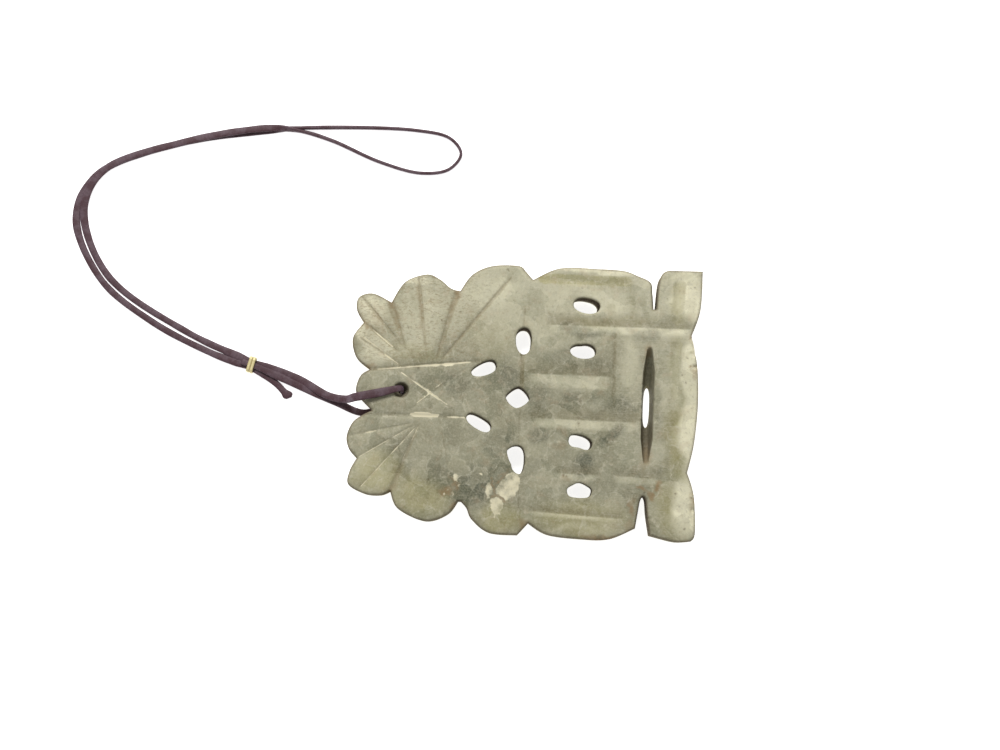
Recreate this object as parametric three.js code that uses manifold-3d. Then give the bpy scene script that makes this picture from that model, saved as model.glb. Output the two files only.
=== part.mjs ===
// A carved jade pendant in the form of a flower basket, lying on its back with its cord.
// Millimetres, +Z up. The origin is under the middle of the plaque, on the surface it lies on.
// +X runs from the leaf tips to the basket's foot, +Y across the basket.
import * as THREE from 'three';
import { mergeVertices } from 'three/addons/utils/BufferGeometryUtils.js';
import Module from 'manifold-3d';

const wasm = await Module();
wasm.setup();
const UP = new THREE.Vector3(0, 0, 1);

// ---- Plaque: driving dimensions ----
const HALF_LENGTH = 30; // leaf tips to foot is 60
const HALF_WIDTH = 23.3;
const THICKNESS = 5.5; // of the basket
const EDGE_BEVEL = 0.35;
const FRONT_TAPER = { from: -2, to: -HALF_LENGTH, drop: 1.3 }; // the face falls towards the leaf tips
const BACK_TAPER = { from: -6, to: -HALF_LENGTH, drop: 1.1 }; // the back rises, so the cord fits under it
const LOBE_STEPS = 13; // facets along each curved stretch of the outline
const OVERSHOOT = 1; // how far a cutter runs past the stone

// ---- Drilled and sawn openings ----
const CORD_HOLE = { x: -21.0, y: 0.7, diameter: 2.7 };
const HOLE_FACETS = 20;
const SAW_SLOT = {
  x: 21.1, y: -0.2, length: 20.2, width: 1.9, rimWidth: 1.05, taper: 3, discRadius: 11.6,
};
const SAW_DEPTH = SAW_SLOT.discRadius
  - Math.sqrt(SAW_SLOT.discRadius ** 2 - (SAW_SLOT.length / 2) ** 2);

// ---- Cord and its binding ----
const CORD_WIDTH = 1.0;
const CORD_THICKNESS = 0.45;
const CORD_STEP = 4.2; // longest step along the tube
const CORD_TWIST_STEP = Math.PI / 8; // and the most that one step twists
const FLOOR = CORD_THICKNESS / 2 + 0.025; // centre height of a strand that lies flat
const STACKED = FLOOR + 0.62; // centre height of a strand on top of another
const ON_EDGE = CORD_WIDTH / 2 + 0.03; // centre height of a strand that stands on its edge
const BINDING = {
  x: -47.19, y: 4.26, slope: -14, across: 2.9, height: 1.68, length: 1.15, wall: 0.3, bottom: 0.01,
};
const LOWER_STRANDS = 0.555; // centre height of the two strands low in the binding
const UPPER_STRAND = 1.065; // centre height of the third

// The height of the front and back face at a place along the plaque.
function taperAt(x, taper) {
  const along = (taper.from - x) / (taper.from - taper.to);
  return taper.drop * Math.max(0, along);
}

function frontAt(x) {
  return THICKNESS - taperAt(x, FRONT_TAPER);
}

// ---- Solids ----
function solidFrom(geometry) {
  const bare = geometry.clone();
  bare.deleteAttribute('normal');
  bare.deleteAttribute('uv');
  const merged = mergeVertices(bare, 1e-5);
  return new wasm.Manifold(new wasm.Mesh({
    numProp: 3,
    vertProperties: new Float32Array(merged.attributes.position.array),
    triVerts: new Uint32Array(merged.index.array),
  }));
}

function geometryFrom(solid) {
  const mesh = solid.getMesh();
  const geometry = new THREE.BufferGeometry();
  geometry.setAttribute('position', new THREE.BufferAttribute(new Float32Array(mesh.vertProperties), 3));
  geometry.setIndex(new THREE.BufferAttribute(new Uint32Array(mesh.triVerts), 1));
  geometry.computeVertexNormals();
  return geometry;
}

function placed(geometry, matrix) {
  return solidFrom(geometry.clone().applyMatrix4(matrix));
}

// ---- The outline: curved stretches that meet in sharp notches, counter-clockwise ----
// Each stretch passes through its points, starting from the end of the one before.
const OUTLINE_START = [-26.6, 4.1];
const OUTLINE = [
  // tongue between the leaves
  [[-28.1, 3.0], [-28.8, 0.9], [-28.3, -0.6], [-25.9, -2.9]],
  // lower leaves, from the tongue round to the basket
  [[-27.4, -3.7], [-29.1, -5.1], [-HALF_LENGTH, -7.5], [-29.5, -9.6], [-28.1, -11.2]],
  [[-29.2, -13.4], [-29.3, -15.7], [-26.4, -17.2], [-23.7, -17.3], [-22.1, -16.6]],
  [[-20.6, -19.5], [-15.9, -21.4], [-12.2, -20.1], [-10.5, -17.8]],
  [[-10.0, -17.8]],
  [[-9.0, -18.9], [-8.0, -20.8], [-5.0, -22.9], [-0.2, -23.1]],
  [[1.6, -21.0]],
  // lower rim of the basket, and the saw notch before the foot
  [[4.9, -22.8], [10.6, -HALF_WIDTH], [15.4, -23.1], [19.7, -21.1]],
  [[20.1, -18.3], [20.4, -16.4], [20.85, -15.7], [21.3, -16.3], [21.6, -18.8], [22.2, -22.2]],
  // foot
  [[26.5, -23.1], [29.2, -22.9]],
  [[29.9, -21.4], [29.5, -15.2], [28.2, -11.3]],
  [[29.2, -6.3], [29.65, 0.6], [29.3, 7.0], [28.15, 12.1]],
  [[29.5, 16.6], [29.7, HALF_WIDTH]],
  [[23.8, 23.2]],
  // upper saw notch, and the upper rim of the basket
  [[22.9, 22.7], [22.3, 21.5], [22.05, 19.5], [21.9, 16.4]],
  [[21.45, 16.4]],
  [[21.2, 19.0], [20.8, 21.0], [18.4, 22.1], [16.2, 22.8], [12.0, 22.95], [5.3, 22.8], [0.7, 20.6]],
  // upper leaves, from the basket back to the tongue
  [[-0.6, 22.0]],
  [[-1.9, 22.9], [-6.4, 22.7], [-9.7, 21.1], [-11.7, 18.2]],
  [[-13.3, 18.6], [-15.3, 20.1], [-17.6, 20.85], [-21.2, 19.4], [-23.4, 15.8]],
  [[-26.6, 17.2], [-29.0, 16.5], [-29.3, 14.3], [-28.0, 12.1]],
  [[-29.75, 9.4], [-29.0, 6.1], OUTLINE_START],
];

function outlineShape() {
  const shape = new THREE.Shape();
  shape.moveTo(...OUTLINE_START);
  for (const stretch of OUTLINE) {
    const points = stretch.map(([x, y]) => new THREE.Vector2(x, y));
    if (points.length === 1) {
      shape.lineTo(points[0].x, points[0].y);
    } else {
      shape.splineThru(points);
    }
  }
  return new THREE.Shape(evenlyFaceted(shape));
}

// Fewer facets on short and straight stretches, so that no facet is needlessly small.
function evenlyFaceted(shape) {
  const points = [shape.curves[0].getPoint(0)];
  for (const curve of shape.curves) {
    const steps = curve.isLineCurve ? 1 : Math.min(LOBE_STEPS, Math.ceil(curve.getLength() / 0.9));
    for (let i = 1; i <= steps; i += 1) {
      points.push(curve.getPointAt(i / steps));
    }
  }
  points.pop();
  return points;
}

function slab() {
  const geometry = new THREE.ExtrudeGeometry(outlineShape(), {
    depth: THICKNESS - 2 * EDGE_BEVEL,
    bevelEnabled: true,
    bevelThickness: EDGE_BEVEL,
    bevelSize: EDGE_BEVEL,
    bevelOffset: -EDGE_BEVEL,
    bevelSegments: 1,
  });
  geometry.translate(0, 0, EDGE_BEVEL);
  return solidFrom(geometry);
}

// A wedge that planes a face down towards the leaf tips. Side is +1 for the front, -1 for the back.
function taperWedge(taper, faceHeight, side) {
  const run = taper.from - taper.to + OVERSHOOT;
  const fall = taper.drop * run / (taper.from - taper.to);
  const profile = new THREE.Shape();
  profile.moveTo(taper.from, faceHeight);
  profile.lineTo(taper.from - run, faceHeight - side * fall);
  profile.lineTo(taper.from - run, faceHeight + side * OVERSHOOT);
  profile.lineTo(taper.from, faceHeight + side * OVERSHOOT);
  const breadth = 2 * (HALF_WIDTH + OVERSHOOT);
  const geometry = new THREE.ExtrudeGeometry(profile, { depth: breadth, bevelEnabled: false });
  geometry.rotateX(Math.PI / 2);
  geometry.translate(0, breadth / 2, 0);
  return solidFrom(geometry);
}

// ---- Drilled holes: an oval through the plaque, worn into a slot, a kite or a teardrop ----
// Squareness 2 is an ellipse, 1 a kite; bulge widens one end.
const PIERCED = [
  { x: 10.1, y: 16.5, length: 4.5, width: 2.65, turn: -10, squareness: 2.2, bulge: 0 },
  { x: -0.45, y: 9.95, length: 4.5, width: 2.75, turn: 91, squareness: 2.2, bulge: 0.05 },
  { x: 9.75, y: 8.65, length: 4.4, width: 2.55, turn: 1, squareness: 2.1, bulge: 0 },
  { x: -7.05, y: 4.9, length: 4.6, width: 2.15, turn: 24, squareness: 2.3, bulge: 0.1 },
  { x: -1.1, y: 0.25, length: 4.0, width: 3.7, turn: -4, squareness: 1.45, bulge: 0 },
  { x: -7.5, y: -4.3, length: 4.55, width: 2.15, turn: -28, squareness: 2.6, bulge: 0 },
  { x: 9.85, y: -6.95, length: 4.15, width: 2.35, turn: -12, squareness: 2.4, bulge: 0 },
  { x: -0.8, y: -10.2, length: 4.6, width: 2.75, turn: 96, squareness: 2.4, bulge: 0.06 },
  { x: 10.05, y: -15.15, length: 4.15, width: 2.55, turn: 0, squareness: 1.9, bulge: 0 },
];

function ovalPoints({ length, width, squareness, bulge }) {
  const points = [];
  for (let i = 0; i < HOLE_FACETS; i += 1) {
    const angle = 2 * Math.PI * i / HOLE_FACETS;
    const c = Math.cos(angle);
    const s = Math.sin(angle);
    const along = Math.sign(c) * Math.abs(c) ** (2 / squareness);
    const across = Math.sign(s) * Math.abs(s) ** (2 / squareness);
    points.push(new THREE.Vector2(length / 2 * along, width / 2 * across * (1 + bulge * along)));
  }
  return points;
}

function throughCutter(points, x, y, turn) {
  const depth = THICKNESS + 2 * OVERSHOOT;
  const geometry = new THREE.ExtrudeGeometry(new THREE.Shape(points), { depth, bevelEnabled: false });
  geometry.rotateZ(THREE.MathUtils.degToRad(turn));
  geometry.translate(x, y, -OVERSHOOT);
  return solidFrom(geometry);
}

function cordHoleCutter() {
  const round = { length: CORD_HOLE.diameter, width: CORD_HOLE.diameter, squareness: 2, bulge: 0 };
  return throughCutter(ovalPoints(round), CORD_HOLE.x, CORD_HOLE.y, 0);
}

// The slot is one plunge of a wheel with a tapered rim, so its floor is an arc, its ends are
// pointed and it opens only in the middle.
function sawSlotCutter() {
  const shoulder = SAW_SLOT.discRadius - SAW_SLOT.taper;
  const half = SAW_SLOT.width / 2;
  const rim = SAW_SLOT.rimWidth / 2;
  const profile = [
    [0, -half], [shoulder, -half], [SAW_SLOT.discRadius, -rim],
    [SAW_SLOT.discRadius, rim], [shoulder, half], [0, half],
  ];
  const points = profile.map(([radius, offset]) => new THREE.Vector2(radius, offset));
  const geometry = new THREE.LatheGeometry(points, 72);
  geometry.rotateZ(Math.PI / 2);
  geometry.translate(SAW_SLOT.x, SAW_SLOT.y, THICKNESS + SAW_SLOT.discRadius - SAW_DEPTH);
  return solidFrom(geometry);
}

// ---- Wheel-cut grooves: [x, y] to [x, y], width, depth ----
const VEIN = { width: 0.75, depth: 0.32 };
const FINE_LINE = { width: 0.4, depth: 0.18 };
const GROOVES = [
  // veins and partings of the upper leaves
  { from: [-28.4, 16.6], to: [-21.0, 8.2], ...VEIN },
  { from: [-23.6, 16.1], to: [-20.7, 8.0], ...VEIN, width: 1.0 },
  { from: [-18.9, 20.3], to: [-16.9, 6.2], ...VEIN },
  { from: [-12.0, 18.4], to: [-15.2, 6.4], ...VEIN, width: 1.1 },
  { from: [-3.3, 20.5], to: [-14.2, 6.4], ...VEIN },
  { from: [-27.6, 12.2], to: [-21.9, 7.3], ...VEIN },
  { from: [-28.9, 10.0], to: [-21.2, 4.9], ...VEIN },
  // veins and partings of the lower leaves
  { from: [-29.8, -7.2], to: [-18.6, -4.8], ...FINE_LINE },
  { from: [-28.2, -11.2], to: [-18.3, -5.0], ...VEIN, width: 0.6 },
  { from: [-27.7, -16.6], to: [-18.0, -5.2], ...FINE_LINE, depth: 0.25 },
  { from: [-22.1, -16.9], to: [-17.6, -4.8], ...VEIN, width: 1.0 },
  { from: [-13.7, -6.2], to: [-12.5, -11.6], ...FINE_LINE },
  // the tongue's edges and the crossed lines on it
  { from: [-26.9, 3.9], to: [-7.6, 6.3], ...VEIN, width: 0.7 },
  { from: [-27.6, -3.6], to: [-9.4, -3.5], ...VEIN, width: 0.7 },
  { from: [-21.9, 4.9], to: [-11.5, -2.7], ...FINE_LINE },
  { from: [-9.9, 5.0], to: [-19.6, -2.7], ...FINE_LINE },
  // the line between the leaves and the basket
  { from: [-0.45, 15.6], to: [-0.6, 11.5], ...FINE_LINE },
  { from: [-0.55, 8.9], to: [-0.5, 1.2], width: 0.9, depth: 0.35 },
  { from: [-0.6, -0.6], to: [-0.6, -8.6], ...FINE_LINE },
  { from: [-0.5, -11.6], to: [-0.1, -19.8], ...FINE_LINE },
  // upright groove beside the slot, and the flutes of the foot
  { from: [15.2, 13.2], to: [15.2, -0.8], width: 0.9, depth: 0.3 },
  { from: [26.2, 21.6], to: [26.2, 13.4], width: 2.2, depth: 0.35 },
  { from: [25.9, 12.9], to: [25.6, -1.8], width: 2.2, depth: 0.35 },
  { from: [25.4, -2.6], to: [25.0, -12.2], width: 1.8, depth: 0.25 },
];

function grooveCutter({ from, to, width, depth }) {
  const start = new THREE.Vector3(from[0], from[1], frontAt(from[0]));
  const end = new THREE.Vector3(to[0], to[1], frontAt(to[0]));
  const direction = end.clone().sub(start);
  const length = direction.length();
  const turn = new THREE.Quaternion().setFromUnitVectors(
    new THREE.Vector3(1, 0, 0), direction.normalize(),
  );
  const geometry = new THREE.SphereGeometry(1, 8, 8);
  geometry.rotateZ(Math.PI / 2);
  const middle = start.add(end).multiplyScalar(0.5);
  const size = new THREE.Vector3(length / 2, width / 2, depth);
  return placed(geometry, new THREE.Matrix4().compose(middle, turn, size));
}

// ---- Bands across the basket: each is a long slope that ends in a short riser towards -Y ----
const BANDS = [
  { left: 2.0, right: 19.0, y: 20.0, slope: 1.6, depth: 0.4 },
  { left: 4.5, right: 28.0, y: 12.95, slope: 1.9, depth: 0.45 },
  { left: 0.2, right: 14.6, y: 4.6, slope: 2.6, depth: 0.45 },
  { left: 0.2, right: 18.9, y: -3.1, slope: 2.6, depth: 0.4 },
  { left: 5.2, right: 23.5, y: -12.3, slope: 2.2, depth: 0.4 },
  { left: 1.6, right: 16.6, y: -19.4, slope: 1.8, depth: 0.4 },
];
const RISER_RUN = 0.35;

function bandCutter({ left, right, y, slope, depth }) {
  const profile = new THREE.Shape();
  profile.moveTo(y + slope, THICKNESS);
  profile.lineTo(y, THICKNESS - depth);
  profile.lineTo(y - RISER_RUN, THICKNESS);
  profile.lineTo(y - RISER_RUN, THICKNESS + OVERSHOOT);
  profile.lineTo(y + slope, THICKNESS + OVERSHOOT);
  const geometry = new THREE.ExtrudeGeometry(profile, { depth: right - left, bevelEnabled: false });
  const toFrame = new THREE.Matrix4().makeBasis(
    new THREE.Vector3(0, 1, 0), new THREE.Vector3(0, 0, 1), new THREE.Vector3(1, 0, 0),
  );
  geometry.applyMatrix4(toFrame);
  geometry.translate(left, 0, 0);
  return solidFrom(geometry);
}

function plaqueSolid() {
  const cutters = [
    taperWedge(FRONT_TAPER, THICKNESS, 1),
    taperWedge(BACK_TAPER, 0, -1),
    ...PIERCED.map((hole) => throughCutter(ovalPoints(hole), hole.x, hole.y, hole.turn)),
    cordHoleCutter(),
    sawSlotCutter(),
    ...BANDS.map(bandCutter),
    ...GROOVES.map(grooveCutter),
  ];
  return cutters.reduce((stone, cutter) => stone.subtract(cutter), slab());
}

// ---- The cord: one flat strand, from its sealed end to its cut end ----
// [x, y, height of the centre, roll in degrees: 0 lies flat, 90 stands on edge]
const CORD_ROUTE = [
  // sealed end, then low through the binding
  [-40.5, -1.1, FLOOR, 0],
  [-42.9, 1.3, FLOOR, 0],
  [-47.31, 3.74, LOWER_STRANDS, 0],
  // outer leg
  [-54.1, 5.95, FLOOR, 0],
  [-65.05, 11.15, FLOOR, 0],
  [-74.2, 18.1, FLOOR, 0],
  [-79.1, 28.8, FLOOR, 0],
  [-75.9, 36.3, FLOOR, 0],
  [-61.5, 42.6, FLOOR, 0],
  [-46.2, 45.4, FLOOR, 0],
  // finger loop, on edge
  [-40.9, 46.05, ON_EDGE, 90],
  [-20.8, 46.5, ON_EDGE, 90],
  [-14.7, 45.3, ON_EDGE, 90],
  [-12.75, 42.7, ON_EDGE, 90],
  [-14.7, 39.9, ON_EDGE, 90],
  [-19.5, 39.0, ON_EDGE, 90],
  [-26.8, 40.65, ON_EDGE, 90],
  [-35.3, 44.05, ON_EDGE, 90],
  [-40.9, 45.5, ON_EDGE, 90],
  // inner leg, first on top of the outer leg, then beside it
  [-46.2, 45.75, STACKED, 180],
  [-61.5, 42.5, STACKED, 180],
  [-74.8, 36.9, STACKED, 180],
  [-77.8, 30.2, 0.45, 180],
  [-73.2, 19.0, FLOOR, 180],
  [-58.9, 9.6, FLOOR, 180],
  [-47.07, 4.78, LOWER_STRANDS, 180],
  [-39.2, 2.3, FLOOR, 180],
  // over the tongue and down through its hole
  [-33.6, -0.55, 0.95, 180],
  [-30.7, -1.05, 1.8, 180],
  [-28.7, -0.8, 4.6, 180],
  [-24.4, 0.18, 4.92, 180],
  [-21.2, 1.0, 4.6, 180],
  [-21.25, 0.4, 0.7, 180],
  // back under the tongue to the binding, where it is cut off
  [-23.2, -0.9, 0.28, 180],
  [-27.3, -3.15, FLOOR, 180],
  [-32.6, -1.4, FLOOR, 180],
  [-36.9, 0.2, FLOOR, 180],
  [-42.2, 2.35, 0.72, 180],
  [-47.19, 4.26, UPPER_STRAND, 180],
  [-49.0, 4.75, UPPER_STRAND, 180],
];

// A curve with its stations spread by span, whose section keeps its width level but for its roll.
class FlatCordPath extends THREE.CatmullRomCurve3 {
  constructor(route) {
    super(route.map(([x, y, z]) => new THREE.Vector3(x, y, z)), false, 'centripetal');
    this.rolls = route.map(([, , , roll]) => THREE.MathUtils.degToRad(roll));
    this.stations = [0];
    const spans = route.length - 1;
    for (let i = 0; i < spans; i += 1) {
      const chord = this.points[i].distanceTo(this.points[i + 1]);
      const twist = Math.abs(this.rolls[i + 1] - this.rolls[i]);
      const steps = Math.max(1, Math.round(chord / CORD_STEP), Math.round(twist / CORD_TWIST_STEP));
      for (let k = 1; k <= steps; k += 1) {
        this.stations.push((i + k / steps) / spans);
      }
    }
  }

  getSpacedPoints() {
    return this.stations.map((t) => this.getPoint(t));
  }

  rollAt(t) {
    const place = t * (this.rolls.length - 1);
    const index = Math.min(Math.floor(place), this.rolls.length - 2);
    return THREE.MathUtils.lerp(this.rolls[index], this.rolls[index + 1], place - index);
  }

  computeFrenetFrames() {
    const frames = { tangents: [], normals: [], binormals: [] };
    let side = new THREE.Vector3();
    for (const t of this.stations) {
      const tangent = this.getTangent(t);
      const level = UP.clone().cross(tangent);
      if (level.length() > 0.5) {
        side = level.dot(side) < 0 ? level.negate().normalize() : level.normalize();
      } else {
        side = side.clone().addScaledVector(tangent, -side.dot(tangent)).normalize();
      }
      const normal = side.clone().applyAxisAngle(tangent, this.rollAt(t));
      frames.tangents.push(tangent);
      frames.normals.push(normal);
      frames.binormals.push(tangent.clone().cross(normal));
    }
    return frames;
  }
}

function roundedSection(width, height, corner) {
  const x = width / 2;
  const y = height / 2;
  const points = [
    [x, -y + corner], [x, y - corner], [x - corner, y], [corner - x, y],
    [-x, y - corner], [-x, corner - y], [corner - x, -y], [x - corner, -y],
  ];
  return new THREE.Shape(points.map(([px, py]) => new THREE.Vector2(px, py)));
}

function cordGeometry() {
  const path = new FlatCordPath(CORD_ROUTE);
  const section = roundedSection(CORD_WIDTH, CORD_THICKNESS, CORD_THICKNESS * 0.3);
  return new THREE.ExtrudeGeometry(section, {
    steps: path.stations.length - 1,
    extrudePath: path,
  });
}

// ---- The binding: a few turns of thread round the three strands, as one closed ring ----
function bindingGeometry() {
  const wall = BINDING.wall;
  const height = BINDING.height;
  const ring = roundedSection(BINDING.across, height, 0.4);
  ring.holes.push(roundedSection(BINDING.across - 2 * wall, height - 2 * wall, 0.15));
  return new THREE.ExtrudeGeometry(ring, { depth: BINDING.length, bevelEnabled: false });
}

// ---- The object ----
function named(name, geometry, color, roughness, metalness) {
  const material = new THREE.MeshStandardMaterial({ color, roughness, metalness });
  const mesh = new THREE.Mesh(geometry, material);
  mesh.name = name;
  return mesh;
}

const pendant = new THREE.Group();
pendant.add(named('jade_plaque', geometryFrom(plaqueSolid()), 0xa8a788, 0.35, 0));
pendant.add(named('silk_cord', cordGeometry(), 0x3d2832, 0.75, 0));

const binding = named('gold_binding', bindingGeometry(), 0xd9c78f, 0.4, 0.3);
binding.geometry.translate(0, 0, -BINDING.length / 2);
const along = new THREE.Vector3(1, 0, 0).applyAxisAngle(UP, THREE.MathUtils.degToRad(BINDING.slope));
const across = UP.clone().cross(along);
binding.setRotationFromMatrix(new THREE.Matrix4().makeBasis(across, UP, along));
binding.position.set(BINDING.x, BINDING.y, BINDING.bottom + BINDING.height / 2);
pendant.add(binding);

export default pendant;
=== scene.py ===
"""A carved and pierced jade pendant on its silk cord, lying on its back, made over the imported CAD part.

Sizes are in millimetres and degrees unless a name says otherwise, and MM turns them into metres.
The jade is one closed mesh: its front and back are height fields over the same outline, joined by walls.
"""

import itertools
import math

import bpy
import numpy as np
from mathutils import Color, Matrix, Vector, geometry, kdtree


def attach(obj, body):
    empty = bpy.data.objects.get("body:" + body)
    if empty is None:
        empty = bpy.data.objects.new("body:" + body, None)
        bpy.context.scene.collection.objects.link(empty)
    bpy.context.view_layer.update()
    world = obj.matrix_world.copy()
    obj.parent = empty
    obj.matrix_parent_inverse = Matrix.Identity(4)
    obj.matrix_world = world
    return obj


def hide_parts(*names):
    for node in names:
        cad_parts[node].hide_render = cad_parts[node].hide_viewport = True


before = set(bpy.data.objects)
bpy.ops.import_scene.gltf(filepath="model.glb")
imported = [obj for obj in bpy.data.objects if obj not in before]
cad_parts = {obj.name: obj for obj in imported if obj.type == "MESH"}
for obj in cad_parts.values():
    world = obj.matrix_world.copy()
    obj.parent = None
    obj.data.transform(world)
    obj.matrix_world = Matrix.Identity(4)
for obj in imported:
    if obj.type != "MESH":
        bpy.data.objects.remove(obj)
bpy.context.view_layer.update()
MM = 0.001

# ---- The jade's main sizes, as the CAD part has them ----
THICKNESS = 5.5
FRONT_TAPER = {"start": -2.0, "end": -30.0, "drop": 1.3}
BACK_TAPER = {"start": -6.0, "end": -30.0, "drop": 1.1}
CORD_HOLE = {"x": -21.0, "y": 0.7, "diameter": 2.7}
# drilled from both faces at a slant, so it is narrow where the two drillings meet
CORD_HOLE_WAIST = {"x": -20.87, "y": 0.83, "diameter": 1.36}
CORD_HOLE_FOOT = {"x": -22.0, "y": -0.2, "diameter": 2.2}
SLOT = {"x": 21.1, "y": -0.2, "length": 20.2, "width": 1.9, "rim_width": 1.05, "radius": 11.6}
SLOT_TAPER = 3.0  # how far in from its rim the saw reaches its full width
SLOT_RIM_ROUND = 0.6
SLOT_OPENING_HEIGHT = 0.12  # where the cut comes through the back
SLOT_DEPTH = SLOT["radius"] - math.sqrt(SLOT["radius"] ** 2 - (SLOT["length"] / 2) ** 2)
SLOT_CENTRE_Z = THICKNESS + SLOT["radius"] - SLOT_DEPTH

# ---- The outline: each stretch is a smooth curve through the last point and its own ----
OUTLINE_START = (-26.6, 4.1)
OUTLINE = (
    # tongue between the two fans of leaves
    ((-28.1, 3.0), (-28.8, 0.9), (-28.3, -0.6), (-25.9, -2.9)),
    # lower leaves
    ((-27.4, -3.7), (-29.1, -5.1), (-30.0, -7.5), (-29.5, -9.6), (-28.1, -11.2)),
    ((-29.2, -13.4), (-29.3, -15.7), (-26.4, -17.2), (-23.7, -17.3), (-22.1, -16.6)),
    ((-20.6, -19.5), (-15.9, -21.4), (-12.2, -20.1), (-10.5, -17.8)),
    ((-10.0, -17.8),),
    ((-9.0, -18.9), (-8.0, -20.8), (-5.0, -22.9), (-0.2, -23.1)),
    ((1.6, -21.0),),
    # lower side of the basket, the notch and the foot
    ((4.9, -22.8), (10.6, -23.3), (15.4, -23.1), (19.7, -21.1)),
    ((20.1, -18.3), (20.4, -16.4), (20.85, -15.7), (21.3, -16.3), (21.6, -18.8), (22.2, -22.2)),
    ((26.5, -23.1), (29.2, -22.9)),
    ((29.9, -21.4), (29.5, -15.2), (28.2, -11.3)),
    ((29.2, -6.3), (29.65, 0.6), (29.3, 7.0), (28.15, 12.1)),
    ((29.5, 16.6), (29.7, 23.3)),
    ((23.8, 23.2),),
    ((22.9, 22.7), (22.3, 21.5), (22.05, 19.5), (21.9, 16.4)),
    ((21.45, 16.4),),
    # upper side of the basket
    ((21.2, 19.0), (20.8, 21.0), (18.4, 22.1), (16.2, 22.8), (12.0, 22.95), (5.3, 22.8), (0.7, 20.6)),
    # upper leaves
    ((-0.6, 22.0),),
    ((-1.9, 22.9), (-6.4, 22.7), (-9.7, 21.1), (-11.7, 18.2)),
    ((-13.3, 18.6), (-15.3, 20.1), (-17.6, 20.85), (-21.2, 19.4), (-23.4, 15.8)),
    ((-26.6, 17.2), (-29.0, 16.5), (-29.3, 14.3), (-28.0, 12.1)),
    ((-29.75, 9.4), (-29.0, 6.1), (-26.6, 4.1)),
)

# ---- Pierced openings: middle, size, turn, squareness, bulge, and how far the far end leans ----
PIERCED = (
    (10.1, 16.5, 4.5, 2.65, -10, 2.2, 0, -0.4, -0.1), (-0.45, 9.95, 4.5, 2.75, 91, 2.2, 0.05, -0.15, -0.1),
    (9.75, 8.65, 4.4, 2.55, 1, 2.1, 0, 0, 0.15), (-7.05, 4.9, 4.6, 2.15, 24, 2.3, 0.1, -0.2, 0.1),
    (-1.1, 0.25, 4, 3.7, -4, 1.45, 0, -0.05, 0), (-7.5, -4.3, 4.55, 2.15, -28, 2.6, 0, -0.2, 0),
    (9.85, -6.95, 4.15, 2.35, -12, 2.4, 0, -0.2, 0.1), (-0.8, -10.2, 4.6, 2.75, 96, 2.4, 0.06, -0.15, 0.1),
    (10.05, -15.15, 4.15, 2.55, 0, 2.1, 0, 0, 0.1),
)

# where a file slipped or left a corner: opening, direction, share cut in (or left out), reach in degrees
FILE_MARKS = (
    (0, 200, -0.06, 30), (2, 100, 0.09, 16), (6, 258, 0.26, 26), (6, 75, -0.06, 40), (7, 205, 0.17, 18),
    (7, 158, -0.14, 16), (7, 290, -0.12, 30), (8, 92, -0.12, 18), (8, 45, 0.1, 24), (8, 138, 0.1, 24),
    (8, 222, -0.1, 20), (8, 318, -0.1, 20), (8, 270, 0.06, 40),
)

# ---- Wheel-cut lines on the front: from, to, width and depth at the start, share left at the end ----
VEINS = (
    (-28.3, 16.3, -21, 8.2, 0.85, 0.3, 0.5), (-23.5, 15.8, -20.7, 8, 1.7, 0.5, 0.3),
    (-18.9, 20.2, -16.9, 6.2, 0.95, 0.34, 0.45), (-12.1, 18.2, -15.2, 6.4, 1.7, 0.5, 0.3),
    (-3.1, 20.7, -14.2, 6.4, 0.95, 0.32, 0.6), (-27.5, 11.9, -21.9, 7.3, 0.9, 0.36, 0.6),
    (-28.3, 9.4, -21.2, 4.9, 0.7, 0.3, 0.7), (-29.6, -7.4, -18.6, -4.8, 0.4, 0.14, 0.8),
    (-28.1, -11.2, -18.3, -5, 0.5, 0.2, 0.7), (-27.4, -16.3, -18, -5.2, 0.4, 0.17, 0.8),
    (-22.1, -16.8, -17.6, -4.8, 1.3, 0.4, 0.3), (-13.7, -6.2, -12.5, -11.6, 0.4, 0.14, 0.6),
)
LINES = (
    (-26.7, 4, -7.6, 6.2, 0.7, 0.32, 0.8), (-27.4, -3.6, -9.4, -3.5, 0.7, 0.32, 0.8),
    (-21.9, 4.3, -11.5, -2.7, 0.4, 0.16, 0.8), (-9.9, 5, -19.6, -2.7, 0.4, 0.14, 0.8),
    (-0.45, 15.6, -0.6, 11.5, 0.4, 0.16, 1), (-0.55, 8.4, -0.5, 1.6, 0.9, 0.35, 1),
    (-0.6, -1.4, -0.6, -8.6, 0.4, 0.18, 1), (-0.5, -11.9, -0.1, -19.8, 0.4, 0.16, 1),
    (-5.6, 5.4, -1.6, 5.1, 0.35, 0.08, 0.6),
)
FLUTES = (
    (14.95, 12.2, 15.4, -1.2, 1, 0.26, 0.7), (1.8, 20.7, 17.2, 20.6, 1.9, 0.2, 0.9),
    (25.5, 21.6, 25.4, 13.9, 1.9, 0.26, 0.9), (25.4, 10.9, 25.9, 1.4, 1.7, 0.24, 0.9),
    (27.3, 11, 27.1, 0, 1.2, 0.14, 0.6), (25.4, -2.6, 25, -12.2, 1.8, 0.2, 1),
    (18, 20.2, 18.4, 16, 1.2, 0.14, 0.6), (17.2, 11.6, 17.3, 3, 0.9, 0.12, 0.7),
    (2.4, 11.6, 2.5, 6.6, 0.8, 0.07, 1), (5.4, 11.8, 5.4, 6.4, 0.8, 0.06, 1),
)
GROOVES = VEINS + LINES + FLUTES
TONGUE_EDGES = LINES[:2]
LEAF_BOUNDS = VEINS[:11] + TONGUE_EDGES
# cut lines that get painted shade by their depth
DARK_CUTS = FLUTES[:1] + LINES[4:8]
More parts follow.
